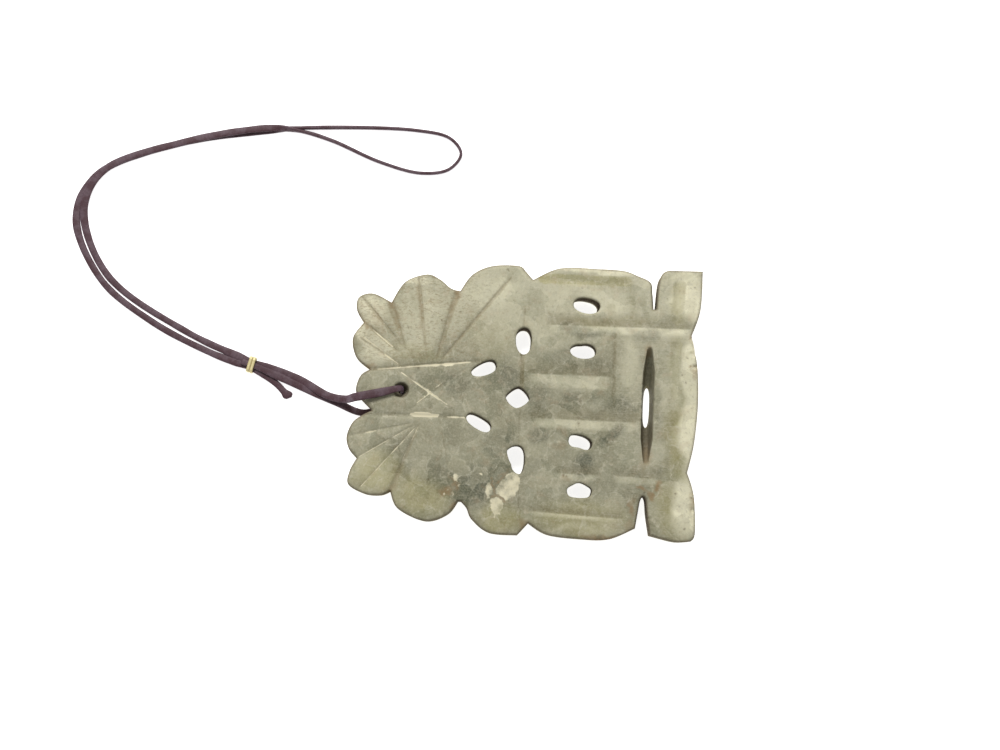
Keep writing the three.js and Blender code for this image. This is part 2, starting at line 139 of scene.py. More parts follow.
# cuts that stay dark from edge to edge: from, to, half-width, strength
SHADED_LINES = (
    (-0.55, 8.4, -0.5, 1.6, 0.36, 2.1), (15.1, 11.8, 15.1, 1, 0.16, 1.3),
    (-0.6, -1.6, -0.6, -8.4, 0.1, 1.1), (-0.45, 15.4, -0.6, 12.3, 0.1, 1),
    (-22.1, -16.6, -18.1, -6.4, 0.14, 1.1),
)

# chips along the edge: place, reach and depth
CHIPS = (
    (29, 9, 0.9, 0.5), (28.9, 6.8, 0.55, 0.5), (28.5, 11.6, 0.6, 0.35), (29.5, -17.6, 0.6, 0.3),
    (-12.4, -20, 0.6, 0.25), (13.8, -23.2, 0.9, 0.3),
)

# ---- The basket's bands: left, right, low edge and its tilt, long slope, depth, short slope ----
BANDS = (
    (3.6, 28, 12.95, 0.01, 2.5, 0.34, 1.3), (0.2, 14.8, 4.5, 0, 2.8, 0.26, 2.3),
    (1.4, 19.8, -3.1, 0, 2.6, 0.3, 1.6), (5.8, 13, -12.3, -0.01, 1.8, 0.22, 1),
    (15.6, 23.9, -12.4, -0.02, 1.8, 0.26, 1.1), (1.6, 17.2, -18.9, -0.045, 1.4, 0.16, 0.6),
)
BAND_END = 0.6

# ---- The cord ----
CORD_WIDTH = 1.0
CORD_THICKNESS = 0.45
CORD_STEP = 0.2
FLOOR = 0.25
STACKED = 0.87
ON_EDGE = 0.53
LOWER_STRANDS = 0.555
UPPER_STRAND = 1.065
HOLE_MOUTH = (-21.2, 1.0, 4.6)
BRAID_PITCH = 0.62
BRAID_DEPTH = 0.004
CORD_SIDES = 18
CORD_SQUARENESS = 2.8
BEAD = {"at": 0.6, "reach": 0.5, "swell": 0.45}  # the sealed end, melted into a flat bead
CORD_ROUTE = (
    (-40.5, -1.1, FLOOR, 0), (-42.9, 1.3, FLOOR, 0), (-47.31, 3.74, LOWER_STRANDS, 0),
    (-54.1, 5.95, FLOOR, 0), (-65.05, 11.15, FLOOR, 0), (-74.2, 18.1, FLOOR, 0),
    (-79.1, 28.8, FLOOR, 0), (-75.9, 36.3, FLOOR, 0), (-61.5, 42.6, FLOOR, 0),
    (-46.2, 45.4, FLOOR, 0),
    (-40.9, 46.05, ON_EDGE, 90), (-20.8, 46.5, ON_EDGE, 90),
    (-14.7, 45.3, ON_EDGE, 90),
    (-12.75, 42.7, ON_EDGE, 90), (-14.7, 39.9, ON_EDGE, 90), (-19.5, 39.0, ON_EDGE, 90),
    (-26.8, 40.65, ON_EDGE, 90), (-35.3, 44.05, ON_EDGE, 90), (-40.9, 45.5, ON_EDGE, 90),
    (-46.2, 45.75, STACKED, 180), (-61.5, 42.5, STACKED, 180), (-74.8, 36.9, STACKED, 180),
    (-77.8, 30.2, 0.45, 180), (-73.2, 19.0, FLOOR, 180), (-58.9, 9.6, FLOOR, 180),
    (-47.07, 4.78, LOWER_STRANDS, 180), (-39.2, 2.3, FLOOR, 180),
    (-33.6, -0.55, 0.95, 180), (-30.7, -1.05, 1.8, 180), (-28.7, -0.8, 4.6, 180),
    (-24.4, 0.18, 4.92, 180), HOLE_MOUTH + (180,), (-21.25, 0.4, 0.7, 180),
    (-23.2, -0.9, 0.28, 180), (-27.3, -3.15, FLOOR, 180), (-32.6, -1.4, FLOOR, 180),
    (-36.9, 0.2, FLOOR, 180),
    (-42.2, 2.35, 0.72, 180), (-47.19, 4.26, UPPER_STRAND, 180), (-49.0, 4.75, UPPER_STRAND, 180),
)

# how far the cord has spread: length along it, share of its width, share of its thickness
CORD_SPREAD = (
    (0, 1.15, 1), (6, 1.2, 1), (8, 1, 1), (9, 1, 1), (11, 1.4, 1), (13, 1.3, 1.1), (16, 1.15, 1.1),
    (44, 1.2, 1.1), (49, 1.4, 1.1), (60, 1.3, 1.1), (88, 1.25, 1.1), (95, 1, 1.35), (101, 1, 1.6),
    (118, 1, 1.3), (126, 1, 1.2), (140, 1, 1.35), (154, 1, 1.6), (160, 1.2, 1.2), (193, 1.25, 1.1),
    (202, 1.5, 1.1), (206, 1.25, 1.1), (233, 1.15, 1.1), (238, 1.35, 1), (240, 1.4, 1), (242, 1, 1),
    (243, 1, 1), (245, 1.4, 1), (256, 1.35, 1), (262, 1.45, 1), (269, 1.4, 1), (272, 1, 1), (280, 1.1, 1),
    (288, 1.3, 1), (299, 1.3, 1), (303, 1, 1), (310, 1, 1),
)

# ---- The gold thread round its three strands ----
BINDING = {"x": -47.19, "y": 4.26, "slope": -14, "across": 2.9, "height": 1.68, "length": 1.15,
           "wall": 0.3, "bottom": 0.01}
BINDING_TURNS = 2
BINDING_CORNER = 0.42
BINDING_RINGS = 130
BINDING_SIDES = 12

# ---- Camera, light and floor, in metres but for the camera's place ----
CAMERA = {"place": (-2.918, -26.880, 358.149), "heading": 2.5, "elevation": 85, "lens": 74.893}
KEY_LIGHT = {"place": (-0.08, 0.34, 0.44), "aim": (-0.01, 0.01, 0), "size": 0.22, "power": 2.5,
             "colour": (1, 0.99, 0.97)}
SKY_STRENGTH = 0.36
FLOOR_SIZE = 4.0

# ---- How much painted shade the stone gets in its slot, openings and notches and along its rim, and how much darker its back is, from 0 to 1 ----
SLOT_SHADE = (0.04, 0.62)  # at its upper and its lower end
EDGE_SHADE = 0.68
CORD_HOLE_SHADE = 0.55
OPENING_SHADE = 0.95
NOTCH_SHADE = 0.85
BACK_DARKENING = 0.15

# ---- Marks in the stone: middle, reach along X and Y, strength, and the turn if there is one ----
CLOUDS = (
    (-7.6, -15.6, 4.2, 3.6, 1, 30), (-12.6, -14.4, 4.6, 2.2, 0.6, -20), (-4.6, -7.6, 3, 2.6, 0.7, 10),
    (-3.6, -12.2, 3.2, 2.4, 0.6, -30), (15.3, -5.4, 2.9, 1.2, 1, 45), (10.3, -10.7, 2.1, 2, 1, 20),
    (2.6, -6, 1.6, 1.2, 0.8), (2.4, 0.4, 4, 2.6, 0.5), (5, -8, 3, 3.6, 0.25), (18.6, -8, 3, 3.6, 0.2),
    (8.6, 0.4, 6, 1.6, 0.5), (16.4, -0.6, 3.2, 1.8, 0.75), (9.6, 12, 5.6, 1.1, 0.7),
    (20.2, 12, 2.4, 1, 0.6), (7.4, 6.6, 6, 1.5, 0.55), (-3.2, 3.6, 3.2, 2.6, 0.55),
    (-14.6, 2.2, 7, 1.8, 0.35), (-20, -8, 2.4, 1.6, 0.3, 30),
)
# paler stone; the first entry is painted light on a band's step, the one at (10, 22.5) is painted light on
# the basket's top rim, and the third to fifth, at the upper petals' tips, are paler stone with painted
# light on their rims
PALE_AND_LIT_SPOTS = (
    (19.6, -13, 3.8, 0.7, 0.3, -1), (10, -0.9, 7.5, 1.4, 0.07), (-19, 19.9, 3.8, 1.3, 0.95),
    (-27.4, 15.2, 2, 2.2, 1), (-28.4, 10.2, 1.5, 2.2, 0.9), (-18.5, 14, 6.5, 6.5, 0.62),
    (-26.2, 13.6, 3.6, 3.4, 0.86), (-26, 8, 3.4, 3.2, 0.66), (-25.8, -13, 4, 4, 0.25),
    (-6, 18.5, 7.5, 4.6, 0.7), (6, 17, 6, 4.6, 0.54), (13, 17.6, 7, 4.8, 0.68), (3.4, 11, 2, 2.6, 0.45),
    (27.6, 18.5, 4, 5, 1.3), (26.4, 22.2, 4.2, 1.6, 1.25), (28.6, 6, 2.2, 8, 1.35),
    (28.6, -5.6, 2.6, 8, 1.35), (28.2, -17.5, 2.6, 5.4, 1.3), (23.6, 4, 1.4, 7, 0.35),
    (17.2, 7, 1.9, 5.4, 0.55), (6, 7, 5, 2, 0.25), (20, -8, 4.6, 3, 0.25), (10, 22.5, 9.6, 0.8, 1.1),
    (6, 3, 6.4, 1.6, 0.22), (25.6, 5, 1.6, 6, 0.5), (10, -21.6, 8, 0.9, 0.22), (20, 19.6, 1.6, 2.6, 0.6),
)
# olive stone; the entries at (14, 13.8), (9.5, 20.8), (26.1, 17.5) and (25.8, 6) are also painted shade, on
# the top band's slope, in the top strip and in the foot's flutes
OLIVE_AND_SHADE_SPOTS = (
    (-25, -13.6, 5, 4, 0.9), (-17, -17, 6, 4, 0.8), (-3, -20.6, 4.6, 2.6, 0.8), (10, -20, 9, 3.6, 0.7),
    (27, -6, 3, 9, 0.8), (26, -18, 3.6, 5.6, 0.7), (9.5, 20.8, 7, 0.9, 1), (26.1, 17.5, 1.4, 4.6, 0.9),
    (25.8, 6, 1.3, 7, 0.5), (14, 13.8, 8, 1, 0.7), (-20, 7, 7, 1.6, 0.4), (-5.8, 10, 4, 4, 0.25),
)
# stains; the first entry is painted shade on the slope above the top band's low edge
STAIN_AND_SHADE_SPOTS = (
    (12, 13.7, 7, 0.7, 0.15), (-25.5, 12, 4.5, 4.5, 0.12), (-23.3, 15.3, 0.7, 1.2, 0.8, 15),
    (-22.4, 13, 0.35, 2.4, 0.6, 15), (-12.2, 17.6, 0.7, 0.9, 0.8, -10), (-12.7, 15.9, 0.35, 1.9, 0.6, -12),
    (-25.5, 13.2, 0.3, 1.9, 0.7, 42), (-15.8, 16.2, 2, 0.5, 0.35, 5), (-27.2, 11.4, 0.9, 0.7, 0.9, 30),
    (-26, 4.4, 1.1, 0.6, 0.7), (-27.4, -2.6, 0.9, 1.2, 0.5), (-25.4, 12.2, 0.8, 2.4, 0.45, 40),
    (-18.4, 15.5, 0.45, 4.6, 0.45, 8), (-12.4, -16.4, 1.3, 0.8, 1, 10), (-11.2, -15, 0.5, 1.6, 0.8, 20),
    (-11.4, -18.4, 0.6, 0.8, 0.6), (-21.9, -16, 1.2, 0.7, 0.5, 30), (0.6, -21.1, 0.9, 1.1, 0.8, -30),
    (20.4, -14.3, 0.9, 0.35, 1.1, -20), (22.9, -14, 0.4, 1.1, 1.1, -30), (22.3, -15.7, 0.9, 0.4, 1.15, -50),
    (21.6, -15, 0.3, 0.9, 1, 30), (19, -17.8, 0.5, 1.6, 0.95), (18.8, -20.6, 0.7, 1, 0.55),
    (13.6, -22.7, 3.4, 0.5, 0.85), (29.2, -16.6, 0.4, 2.2, 0.6), (6.7, -7.5, 0.9, 0.9, 0.4),
    (7.4, -13.1, 1, 0.6, 0.5), (28.2, 11.6, 0.6, 0.9, 0.7), (28.9, 5.6, 0.5, 0.9, 0.7),
    (28.4, 6.9, 0.5, 0.5, 1.2), (-3, -12.8, 1.6, 0.3, 0.6, 35), (-4.6, -15.2, 0.3, 1.3, 0.5),
    (21.1, -8.8, 0.8, 2.2, 0.55), (20.9, 9.4, 0.7, 1.2, 0.7),
)
CREAMS = (
    (-6.6, -13, 0.6, 0.5, 0.75), (-11, -13.7, 0.7, 0.8, 0.8), (-10.4, -15.2, 0.3, 0.4, 0.9),
    (-12.2, -16, 0.4, 0.3, 0.9), (-11.4, -16.7, 0.3, 0.3, 0.9), (-12.9, -16.6, 0.3, 0.4, 0.8),
    (28.7, 9.6, 0.5, 2.2, 1), (28.3, 11.2, 0.5, 0.7, 0.9), (-15.4, -14, 0.8, 0.5, 0.45, 30),
)
# sunk strips painted olive beside the paler stone, partly their own olive tone and partly painted shade in
# the hollow: from, to, half-width, strength
STRIPS = (
    (2.4, 20.85, 16.8, 20.85, 0.88, 1.35), (17.5, 20.2, 18, 15.6, 0.5, 0.5),
    (25.8, 20.6, 25.5, 15, 1.1, 0.85), (25.4, 10.9, 25.9, 2, 0.95, 0.5), (24.9, -2, 24.6, -11.5, 0.7, 0.3),
    (14.2, 16.4, 14.6, 14.2, 0.7, 0.35),
)
# the outlines of three cream patches that nearly touch, and how much larger they are drawn
CREAM_PATCHES = (
    ((-3.3, -14.1), (-2.6, -13.1), (-1.5, -12.6), (-0.6, -13.0), (-0.2, -13.9), (-0.3, -15.3),
     (-1.0, -16.5), (-2.3, -17.2), (-3.2, -16.9), (-3.9, -16.2), (-4.2, -15.5)),
    ((-5.9, -14.9), (-5.2, -14.1), (-4.6, -14.3), (-4.8, -15.2), (-4.4, -15.9), (-4.7, -16.7),
     (-5.4, -17.0), (-5.9, -16.3)),
    ((-5.0, -16.8), (-4.3, -16.5), (-3.3, -17.0), (-2.7, -17.7), (-2.9, -18.9), (-3.2, -19.7),
     (-3.9, -19.8), (-4.1, -20.4), (-4.5, -20.1), (-4.3, -19.6), (-4.8, -18.8)),
)
CREAM_SCALE = 1.13
# the brown cracks between them: from, to, half-width, strength
CREAM_CRACKS = (
    (-4.8, -13.6, -4.6, -15.2, 0.05, 1), (-4.6, -15.2, -4.2, -16.4, 0.05, 1),
    (-4.2, -16.4, -5, -16.9, 0.05, 1),
    (-4.2, -16.4, -3.2, -17, 0.05, 1), (-3.2, -17, -2.3, -17.4, 0.05, 1), (-3.9, -14.6, -3, -13.4, 0.05, 1),
)
# dust that has stayed in the cut lines: from, to, half-width, strength
DUSTED = (
    (-28.2, 9.9, -21.5, 5, 0.13, 1.1), (-26.6, 11.1, -22.6, 8, 0.15, 1.1),
    (-25.3, 4.15, -8.4, 6, 0.17, 1.15), (-22.4, 4.5, -11.4, 5.6, 0.18, 1.05),
    (-26.5, -3.7, -9.4, -3.6, 0.1, 0.6), (-19.2, -3.3, -14.3, -3.35, 0.36, 1.5),
    (-13.2, -3.45, -9.9, -3.6, 0.16, 1.2), (-21.2, 3.8, -12.9, -1.6, 0.13, 1),
    (-13.4, 2.8, -18.2, -1.4, 0.12, 0.7), (-29.5, -7.5, -19, -4.9, 0.1, 0.68),
    (-28, -11.2, -18.6, -5.2, 0.11, 0.7), (-27.2, -16.1, -18.2, -5.5, 0.12, 0.78),
    (-20.6, -11.9, -17.8, -5.4, 0.08, 0.6),
)

# small dark pits: place and reach
PITS = (
    (28.37, 20.36, 0.2), (26.74, 5.3, 0.16), (27.4, 4.09, 0.16), (27.13, -17.06, 0.18),
    (27.99, -20.81, 0.24), (26.34, -14.94, 0.18), (9.41, -2.81, 0.2), (9.45, -3.74, 0.2), (9, -3.3, 0.14),
    (29, -15.5, 0.2), (7.2, -12.6, 0.26), (7.7, -12.9, 0.2), (-15.6, -14.3, 0.2), (-18.2, 4.75, 0.2),
    (-3.6, 22, 0.16), (-20.3, 11.6, 0.14), (-14.6, 13, 0.14), (-11.9, 17, 0.2), (-11.5, 14.6, 0.16),
    (-24.4, 0.9, 0.16), (21, -15, 0.2),
)

# ---- How fine the meshes are ----
OUTLINE_STEP = 0.17
HOLE_STEP = 0.2
CORD_HOLE_SIDES = 44
CORD_HOLE_STEPS = 8
WALL_STEPS = 5
SLOT_GAP = 0.035
SLOT_COLUMNS = (0.0, 0.2, 0.36, 0.46, 0.53, 0.575, 0.62, 0.68, 0.75, 0.82, 0.89, 0.93)
FRONT_STEP = 0.25
BACK_STEP = 0.7
OUTLINE_ROUND = 0.5
HOLE_ROUND = 0.22
BACK_ROUND = 0.35
HALF_SPAN = (31, 24)  # a little more than half the stone's length and width

# ---- How uneven the stone is ----
FRONT_WAVE = 0.06
FRONT_DIMPLE = 0.02
BACK_WAVE = 0.05
WORN_RIM = {"drop": 0.22, "reach": 0.8}
LEAF_SWELL = {"height": 0.16, "reach": 0.9, "none_from": -6, "full_to": -12}
CUT_RUN_OUT = 0.9  # the length over which a cut line fades at each end
EDGE_ROUGHNESS = 0.035
OPENING_ROUGHNESS = 0.02


# ---- Camera, light and floor ----
def link_object(name, data):
    made = bpy.data.objects.new(name, data)
    bpy.context.scene.collection.objects.link(made)
    return made


def make_camera():
    """The photograph's view: almost straight down, leaning a little towards +Y."""
    data = bpy.data.cameras.new("camera")
    data.sensor_width = 36
    data.lens = CAMERA["lens"]
    data.clip_start = 0.01
    camera = link_object("camera", data)
    camera.location = Vector(CAMERA["place"]) * MM
    camera.rotation_euler = (math.radians(90 - CAMERA["elevation"]), 0, math.radians(CAMERA["heading"]))
    bpy.context.scene.camera = camera


def make_lights():
    """One large soft light from above the picture's top edge, over an even white sky."""
    world = bpy.data.worlds.new("studio")
    world.use_nodes = True
    sky = world.node_tree.nodes["Background"]
    sky.inputs["Color"].default_value = (1, 1, 1, 1)
    sky.inputs["Strength"].default_value = SKY_STRENGTH
    bpy.context.scene.world = world
    data = bpy.data.lights.new("key", "AREA")
    data.shape = "DISK"
    data.size = KEY_LIGHT["size"]
    data.energy = KEY_LIGHT["power"]
    data.color = KEY_LIGHT["colour"]
    light = link_object("key", data)
    light.location = KEY_LIGHT["place"]
    aim = Vector(KEY_LIGHT["aim"]) - light.location
    light.rotation_euler = aim.to_track_quat("-Z", "Y").to_euler()
    bpy.context.scene.view_settings.view_transform = "Standard"


def make_floor():
    half = FLOOR_SIZE / 2
    corners = [(-half, -half, 0), (half, -half, 0), (half, half, 0), (-half, half, 0)]
    mesh = bpy.data.meshes.new("floor")
    mesh.from_pydata(corners, [], [(0, 1, 2, 3)])
    floor = link_object("floor", mesh)
    material, _ = new_material("white_floor", {
        "Base Color": (0.9, 0.9, 0.9, 1),
        "Roughness": 0.9,
        "Emission Color": (1, 1, 1, 1),
        "Emission Strength": 0.82,
    })
    mesh.materials.append(material)


# ---- Small helpers ----
def new_object(name, vertices, faces, material):
    """A smooth-shaded mesh object from points in millimetres."""
    mesh = bpy.data.meshes.new(name)
    mesh.from_pydata((np.asarray(vertices) * MM).tolist(), [], faces)
    mesh.validate()
    mesh.shade_smooth()
    mesh.materials.append(material)
    return link_object(name, mesh)


def add_mask(made, name, values):
    """Keeps one number for each vertex, which the material reads by its name."""
    attribute = made.data.attributes.new(name, "FLOAT", "POINT")
    attribute.data.foreach_set("value", np.asarray(values, np.float32))


def smooth_step(value, low, high):
    share = np.clip((value - low) / (high - low), 0, 1)
    return share * share * (3 - 2 * share)


def window(value, low_0, low_1, high_1, high_0):
    """1 between the two inner limits, falling softly to 0 at the outer ones."""
    return smooth_step(value, low_0, low_1) * (1 - smooth_step(value, high_1, high_0))


def corner_value(cells, seed):
    """A fixed pseudo-random number from -1 to 1 for each whole-numbered cell."""
    mixed = np.full(len(cells), seed * 374761393 + 668265263, np.uint64)
    for axis, prime in enumerate((73856093, 19349663, 83492791)[: cells.shape[1]]):
        mixed = mixed ^ ((cells[:, axis] + 100000).astype(np.uint64) * np.uint64(prime))
        mixed = (mixed ^ (mixed >> np.uint64(13))) * np.uint64(1274126177)
        mixed = mixed & np.uint64(0xFFFFFFFF)
    mixed = mixed ^ (mixed >> np.uint64(16))
    return (mixed & np.uint64(0xFFFF)).astype(float) / 32767.5 - 1


def noise(points, cell, seed):
    """Smooth noise from -1 to 1 whose features are about one cell across."""
    place = np.asarray(points) / cell
    base = np.floor(place).astype(np.int64)
    share = place - base
    share = share * share * (3 - 2 * share)
    total = np.zeros(len(place))
    for corner in itertools.product((0, 1), repeat=place.shape[1]):
        weight = np.prod(np.where(np.array(corner) == 1, share, 1 - share), axis=1)
        total += weight * corner_value(base + np.array(corner), seed)
    return total


def fractal(points, cell, seed, layers=4):
    """Noise with finer layers on top, each half as wide and half as strong."""
    total = np.zeros(len(points))
    for layer in range(layers):
        total += noise(points, cell / 2**layer, seed + layer) / 2**layer
    return total / 1.6


def distance_to_line(points, line):
    """(distance from each point to a straight line, how far along it from 0 to 1)."""
    start = np.array(line[:2], float)
    run = np.array(line[2:4], float) - start
    share = np.clip(((points - start) @ run) / (run @ run), 0, 1)
    nearest = start + share[:, None] * run
    return np.hypot(*(points - nearest).T), share


def wandering(points, reach, cell, seed):
    """The same points, each pushed about by up to that reach."""
    return points + reach * np.stack([noise(points, cell, seed), noise(points, cell, seed + 1)], axis=1)


def squared_circle(angle, squareness):
    """A circle of radius 1 whose sides are fuller the greater the squareness is."""
    power = 2 / squareness
    along, across = np.cos(angle), np.sin(angle)
    return np.sign(along) * np.abs(along) ** power, np.sign(across) * np.abs(across) ** power


def inside(points, loop):
    """Which points lie inside a closed loop."""
    x, y = points.T
    result = np.zeros(len(points), bool)
    for (x0, y0), (x1, y1) in zip(loop, np.roll(loop, -1, axis=0)):
        if y0 == y1:
            continue
        crosses = ((y0 > y) != (y1 > y)) & (x < (x1 - x0) * (y - y0) / (y1 - y0) + x0)
        result ^= crosses
    return result


def distance_to_loops(points, loops):
    """The distance from each point to the nearest side of any of the closed loops."""
    corners = np.vstack(loops)
    tree = kdtree.KDTree(len(corners))
    for index, (x, y) in enumerate(corners):
        tree.insert((x, y, 0), index)
    tree.balance()
    near = np.array([tree.find((x, y, 0))[1] for x, y in points])
    offset = points - corners[near]
    best = np.full(len(points), np.inf)
    for way in (-1, 1):
        run = np.vstack([np.roll(loop, way, axis=0) for loop in loops])[near] - corners[near]
        share = np.clip((offset * run).sum(1) / (run * run).sum(1), 0, 1)
        best = np.minimum(best, np.hypot(*(offset - share[:, None] * run).T))
    return best


# ---- The jade's outline, openings and slot ----
def smooth_piece(start, end, pull_in, pull_out, t):
    """(places, directions) on a cubic curve between two points, with its pull at each of them."""
    cubic = 2 * start - 2 * end + pull_in + pull_out
    square = -3 * start + 3 * end - 2 * pull_in - pull_out
    places = cubic * t**3 + square * t**2 + pull_in * t + start
    return places, 3 * cubic * t**2 + 2 * square * t + pull_in


def curve_through(points, step):
    """Points about one step apart on a smooth curve through the given ones, without the first."""
    points = np.array(points, float)
    padded = np.vstack([points[:1], points, points[-1:]])
    made = []
    for before, start, end, after in zip(padded, padded[1:], padded[2:], padded[3:]):
        count = max(2, math.ceil(np.linalg.norm(end - start) / step))
        t = (np.arange(1, count + 1) / count)[:, None]
        made.append(smooth_piece(start, end, (end - before) / 2, (after - start) / 2, t)[0])
    return np.vstack(made)


def outline_loop():
    last = OUTLINE_START
    made = []
    for stretch in OUTLINE:
        made.append(curve_through((last,) + stretch, OUTLINE_STEP))
        last = stretch[-1]
    return np.vstack(made)


def pierced_loop(x, y, length, width, turn, squareness, bulge, number):
    """A filed opening: a rounded oblong, a little uneven."""
    count = round(math.pi * (length + width) / 2 / HOLE_STEP)
    angle = np.arange(count) / count * 2 * math.pi
    along, across = squared_circle(angle, squareness)
    along = length / 2 * along
    across = width / 2 * across * (1 + bulge * along)
    uneven = 1 + 0.022 * np.sin(2 * angle + number * 1.7) + 0.018 * np.sin(3 * angle + number * 2.3)
    for mark, direction, share, reach in FILE_MARKS:
        if mark == number:
            off = (np.degrees(angle) + turn - direction + 180) % 360 - 180
            uneven -= share * np.exp(-((off / reach) ** 2))
    radians = math.radians(turn)
    return np.stack([
        x + uneven * (along * math.cos(radians) - across * math.sin(radians)),
        y + uneven * (along * math.sin(radians) + across * math.cos(radians)),
    ], axis=1)


def round_loop(hole):
    angle = np.arange(CORD_HOLE_SIDES) / CORD_HOLE_SIDES * 2 * math.pi
    radius = hole["diameter"] / 2
    return np.stack([
        hole["x"] + radius * np.cos(angle),
        hole["y"] + radius * np.sin(angle),
    ], axis=1)


def saw_half_width(radius):
    """Half the saw's thickness at a radius: thinner to its rim, which is rounded."""
    rim = SLOT["rim_width"] / 2
    full = SLOT["width"] / 2
    inward = np.clip((SLOT["radius"] - SLOT_RIM_ROUND - radius) / (SLOT_TAPER - SLOT_RIM_ROUND), 0, 1)
    past = np.clip((radius - SLOT["radius"] + SLOT_RIM_ROUND) / SLOT_RIM_ROUND, 0, 1)
    return np.where(past > 0, rim * np.sqrt(1 - past**2), rim + (full - rim) * inward)


def saw_reach(off_centre):
    """How far from its axis the saw still cuts, at a distance to the side of its middle."""
    rim = SLOT["rim_width"] / 2
    full = SLOT["width"] / 2
    side = np.abs(off_centre)
    rounded = SLOT["radius"] - SLOT_RIM_ROUND * (1 - np.sqrt(np.clip(1 - (side / rim) ** 2, 0, 1)))
    outside = np.clip((side - rim) / (full - rim), 0, 1)
    flank = SLOT["radius"] - SLOT_RIM_ROUND - (SLOT_TAPER - SLOT_RIM_ROUND) * outside
    return np.where(side < rim, rounded, flank)


def slot_section(height, count):
    """The closed loop that the saw cuts in a level plane."""
    drop = SLOT_CENTRE_Z - height
    half = math.sqrt(SLOT["radius"] ** 2 - drop**2)
    along = half * np.cos(np.arange(1, count) / count * math.pi)
    width = np.maximum(saw_half_width(np.hypot(drop, along)), 0.02)
    left = np.stack([-width, along], axis=1)
    right = np.stack([width, along], axis=1)[::-1]
    ends = np.array([[0, half]]), np.array([[0, -half]])
    loop = np.vstack([ends[0], left, ends[1], right])
    return loop + (SLOT["x"], SLOT["y"])


def slot_floor(points):
    """The height of the saw cut at each point, or far above the stone outside it."""
    across, along = (points - (SLOT["x"], SLOT["y"])).T
    reach = saw_reach(across)
    within = (np.abs(across) < SLOT["width"] / 2) & (np.abs(along) < reach)
    drop = np.sqrt(np.clip(reach**2 - along**2, 0, None))
    return np.where(within, SLOT_CENTRE_Z - drop, 99.0)


# ---- Heights of the front and the back ----
def taper(x, size):
    return size["drop"] * np.clip((size["start"] - x) / (size["start"] - size["end"]), 0, 1)


def groove_depth(points, groove):
    """A wheel-cut line: a soft V with run-out ends and a shallow worn shoulder."""
    x0, y0, x1, y1, width, depth, left = groove
    distance, share = distance_to_line(points, groove)
    size = 1 - (1 - left) * share
    length = math.hypot(x1 - x0, y1 - y0)
    run_out = np.clip(np.minimum(share, 1 - share) * length / CUT_RUN_OUT, 0, 1)
    wander = 1 + 0.25 * noise(points, 1.3, 5)
    cut = np.clip(1 - distance / (width / 2 * size * wander), 0, 1)
    shoulder = np.exp(-((distance / (0.9 * width + 0.35)) ** 2))
    return depth * size * np.sqrt(run_out) * (0.85 * smooth_step(cut, 0, 1) + 0.18 * shoulder)


def band_ends(x, band):
    """1 along a band, falling to 0 past its left and right ends."""
    left, right = band[:2]
    return window(x, left - BAND_END, left + BAND_END, right - BAND_END, right + BAND_END)


def band_depth(points, band):
    """One band of the basket: it falls slowly towards -Y, and past its low edge it rises again."""
    left, _, low, tilt, slope, depth, rise = band
    x, y = points.T
    edge = low + tilt * (x - left) + 0.06 * noise(points, 2.5, 11)
    fall = np.where(y > edge, 1 - (y - edge) / slope, 1 - (edge - y) / rise)
    soft_fall = smooth_step(fall, 0, 1.15) / smooth_step(1, 0, 1.15)
    return depth * band_ends(x, band) * (0.4 * np.clip(fall, 0, 1) + 0.6 * soft_fall)


def rounding(distance, radius):
    """How far an edge of that radius has dropped, at a distance inside it."""
    inward = np.clip(radius - distance, 0, radius)
    return radius - np.sqrt(radius**2 - inward**2)


def leaf_swell(points):
    """Leaves and tongue fall away a little towards their cut lines, so they are fuller between them."""
    nearest = np.full(len(points), 9.0)
    for line in LEAF_BOUNDS:
        nearest = np.minimum(nearest, distance_to_line(points, line)[0])
    fade = 1 - smooth_step(points[:, 0], LEAF_SWELL["full_to"], LEAF_SWELL["none_from"])
    return -LEAF_SWELL["height"] * fade * np.exp(-nearest / LEAF_SWELL["reach"])


def chip_depth(points):
    """Small losses along the stone's edge."""
    total = np.zeros(len(points))
    for x, y, reach, depth in CHIPS:
        distance = np.hypot(points[:, 0] - x, points[:, 1] - y)
        total += depth * (1 - smooth_step(distance, 0.2 * reach, reach))
    return total * (1 + 0.5 * noise(points, 0.35, 17))


def front_height(points, to_outline, to_holes):
    height = THICKNESS - taper(points[:, 0], FRONT_TAPER)
    height -= FRONT_WAVE * (1 + fractal(points, 9, 21, 3))
    height -= FRONT_DIMPLE * (1 + noise(points, 1.6, 27))
    height += leaf_swell(points)
    for groove in GROOVES:
        height -= groove_depth(points, groove)
    for band in BANDS:
        height -= band_depth(points, band)
    height -= chip_depth(points)
    height -= WORN_RIM["drop"] * np.exp(-to_outline / WORN_RIM["reach"])
    height -= rounding(to_outline, OUTLINE_ROUND)
    height -= rounding(to_holes, HOLE_ROUND)
    return np.minimum(height, THICKNESS)


def back_height(points, to_outline, to_holes):
    height = taper(points[:, 0], BACK_TAPER)
    height += BACK_WAVE * (1 + noise(points, 7, 31))
    height += rounding(to_outline, BACK_ROUND)
    height += rounding(to_holes, HOLE_ROUND)
    return height


# ---- The jade's mesh ----
def inner_ring(loop, depth):
    """A copy of a loop moved sideways into the stone: left of its direction of travel."""
    run = np.roll(loop, -1, axis=0) - np.roll(loop, 1, axis=0)
    run /= np.hypot(*run.T)[:, None]
    return loop + depth * np.stack([-run[:, 1], run[:, 0]], axis=1)


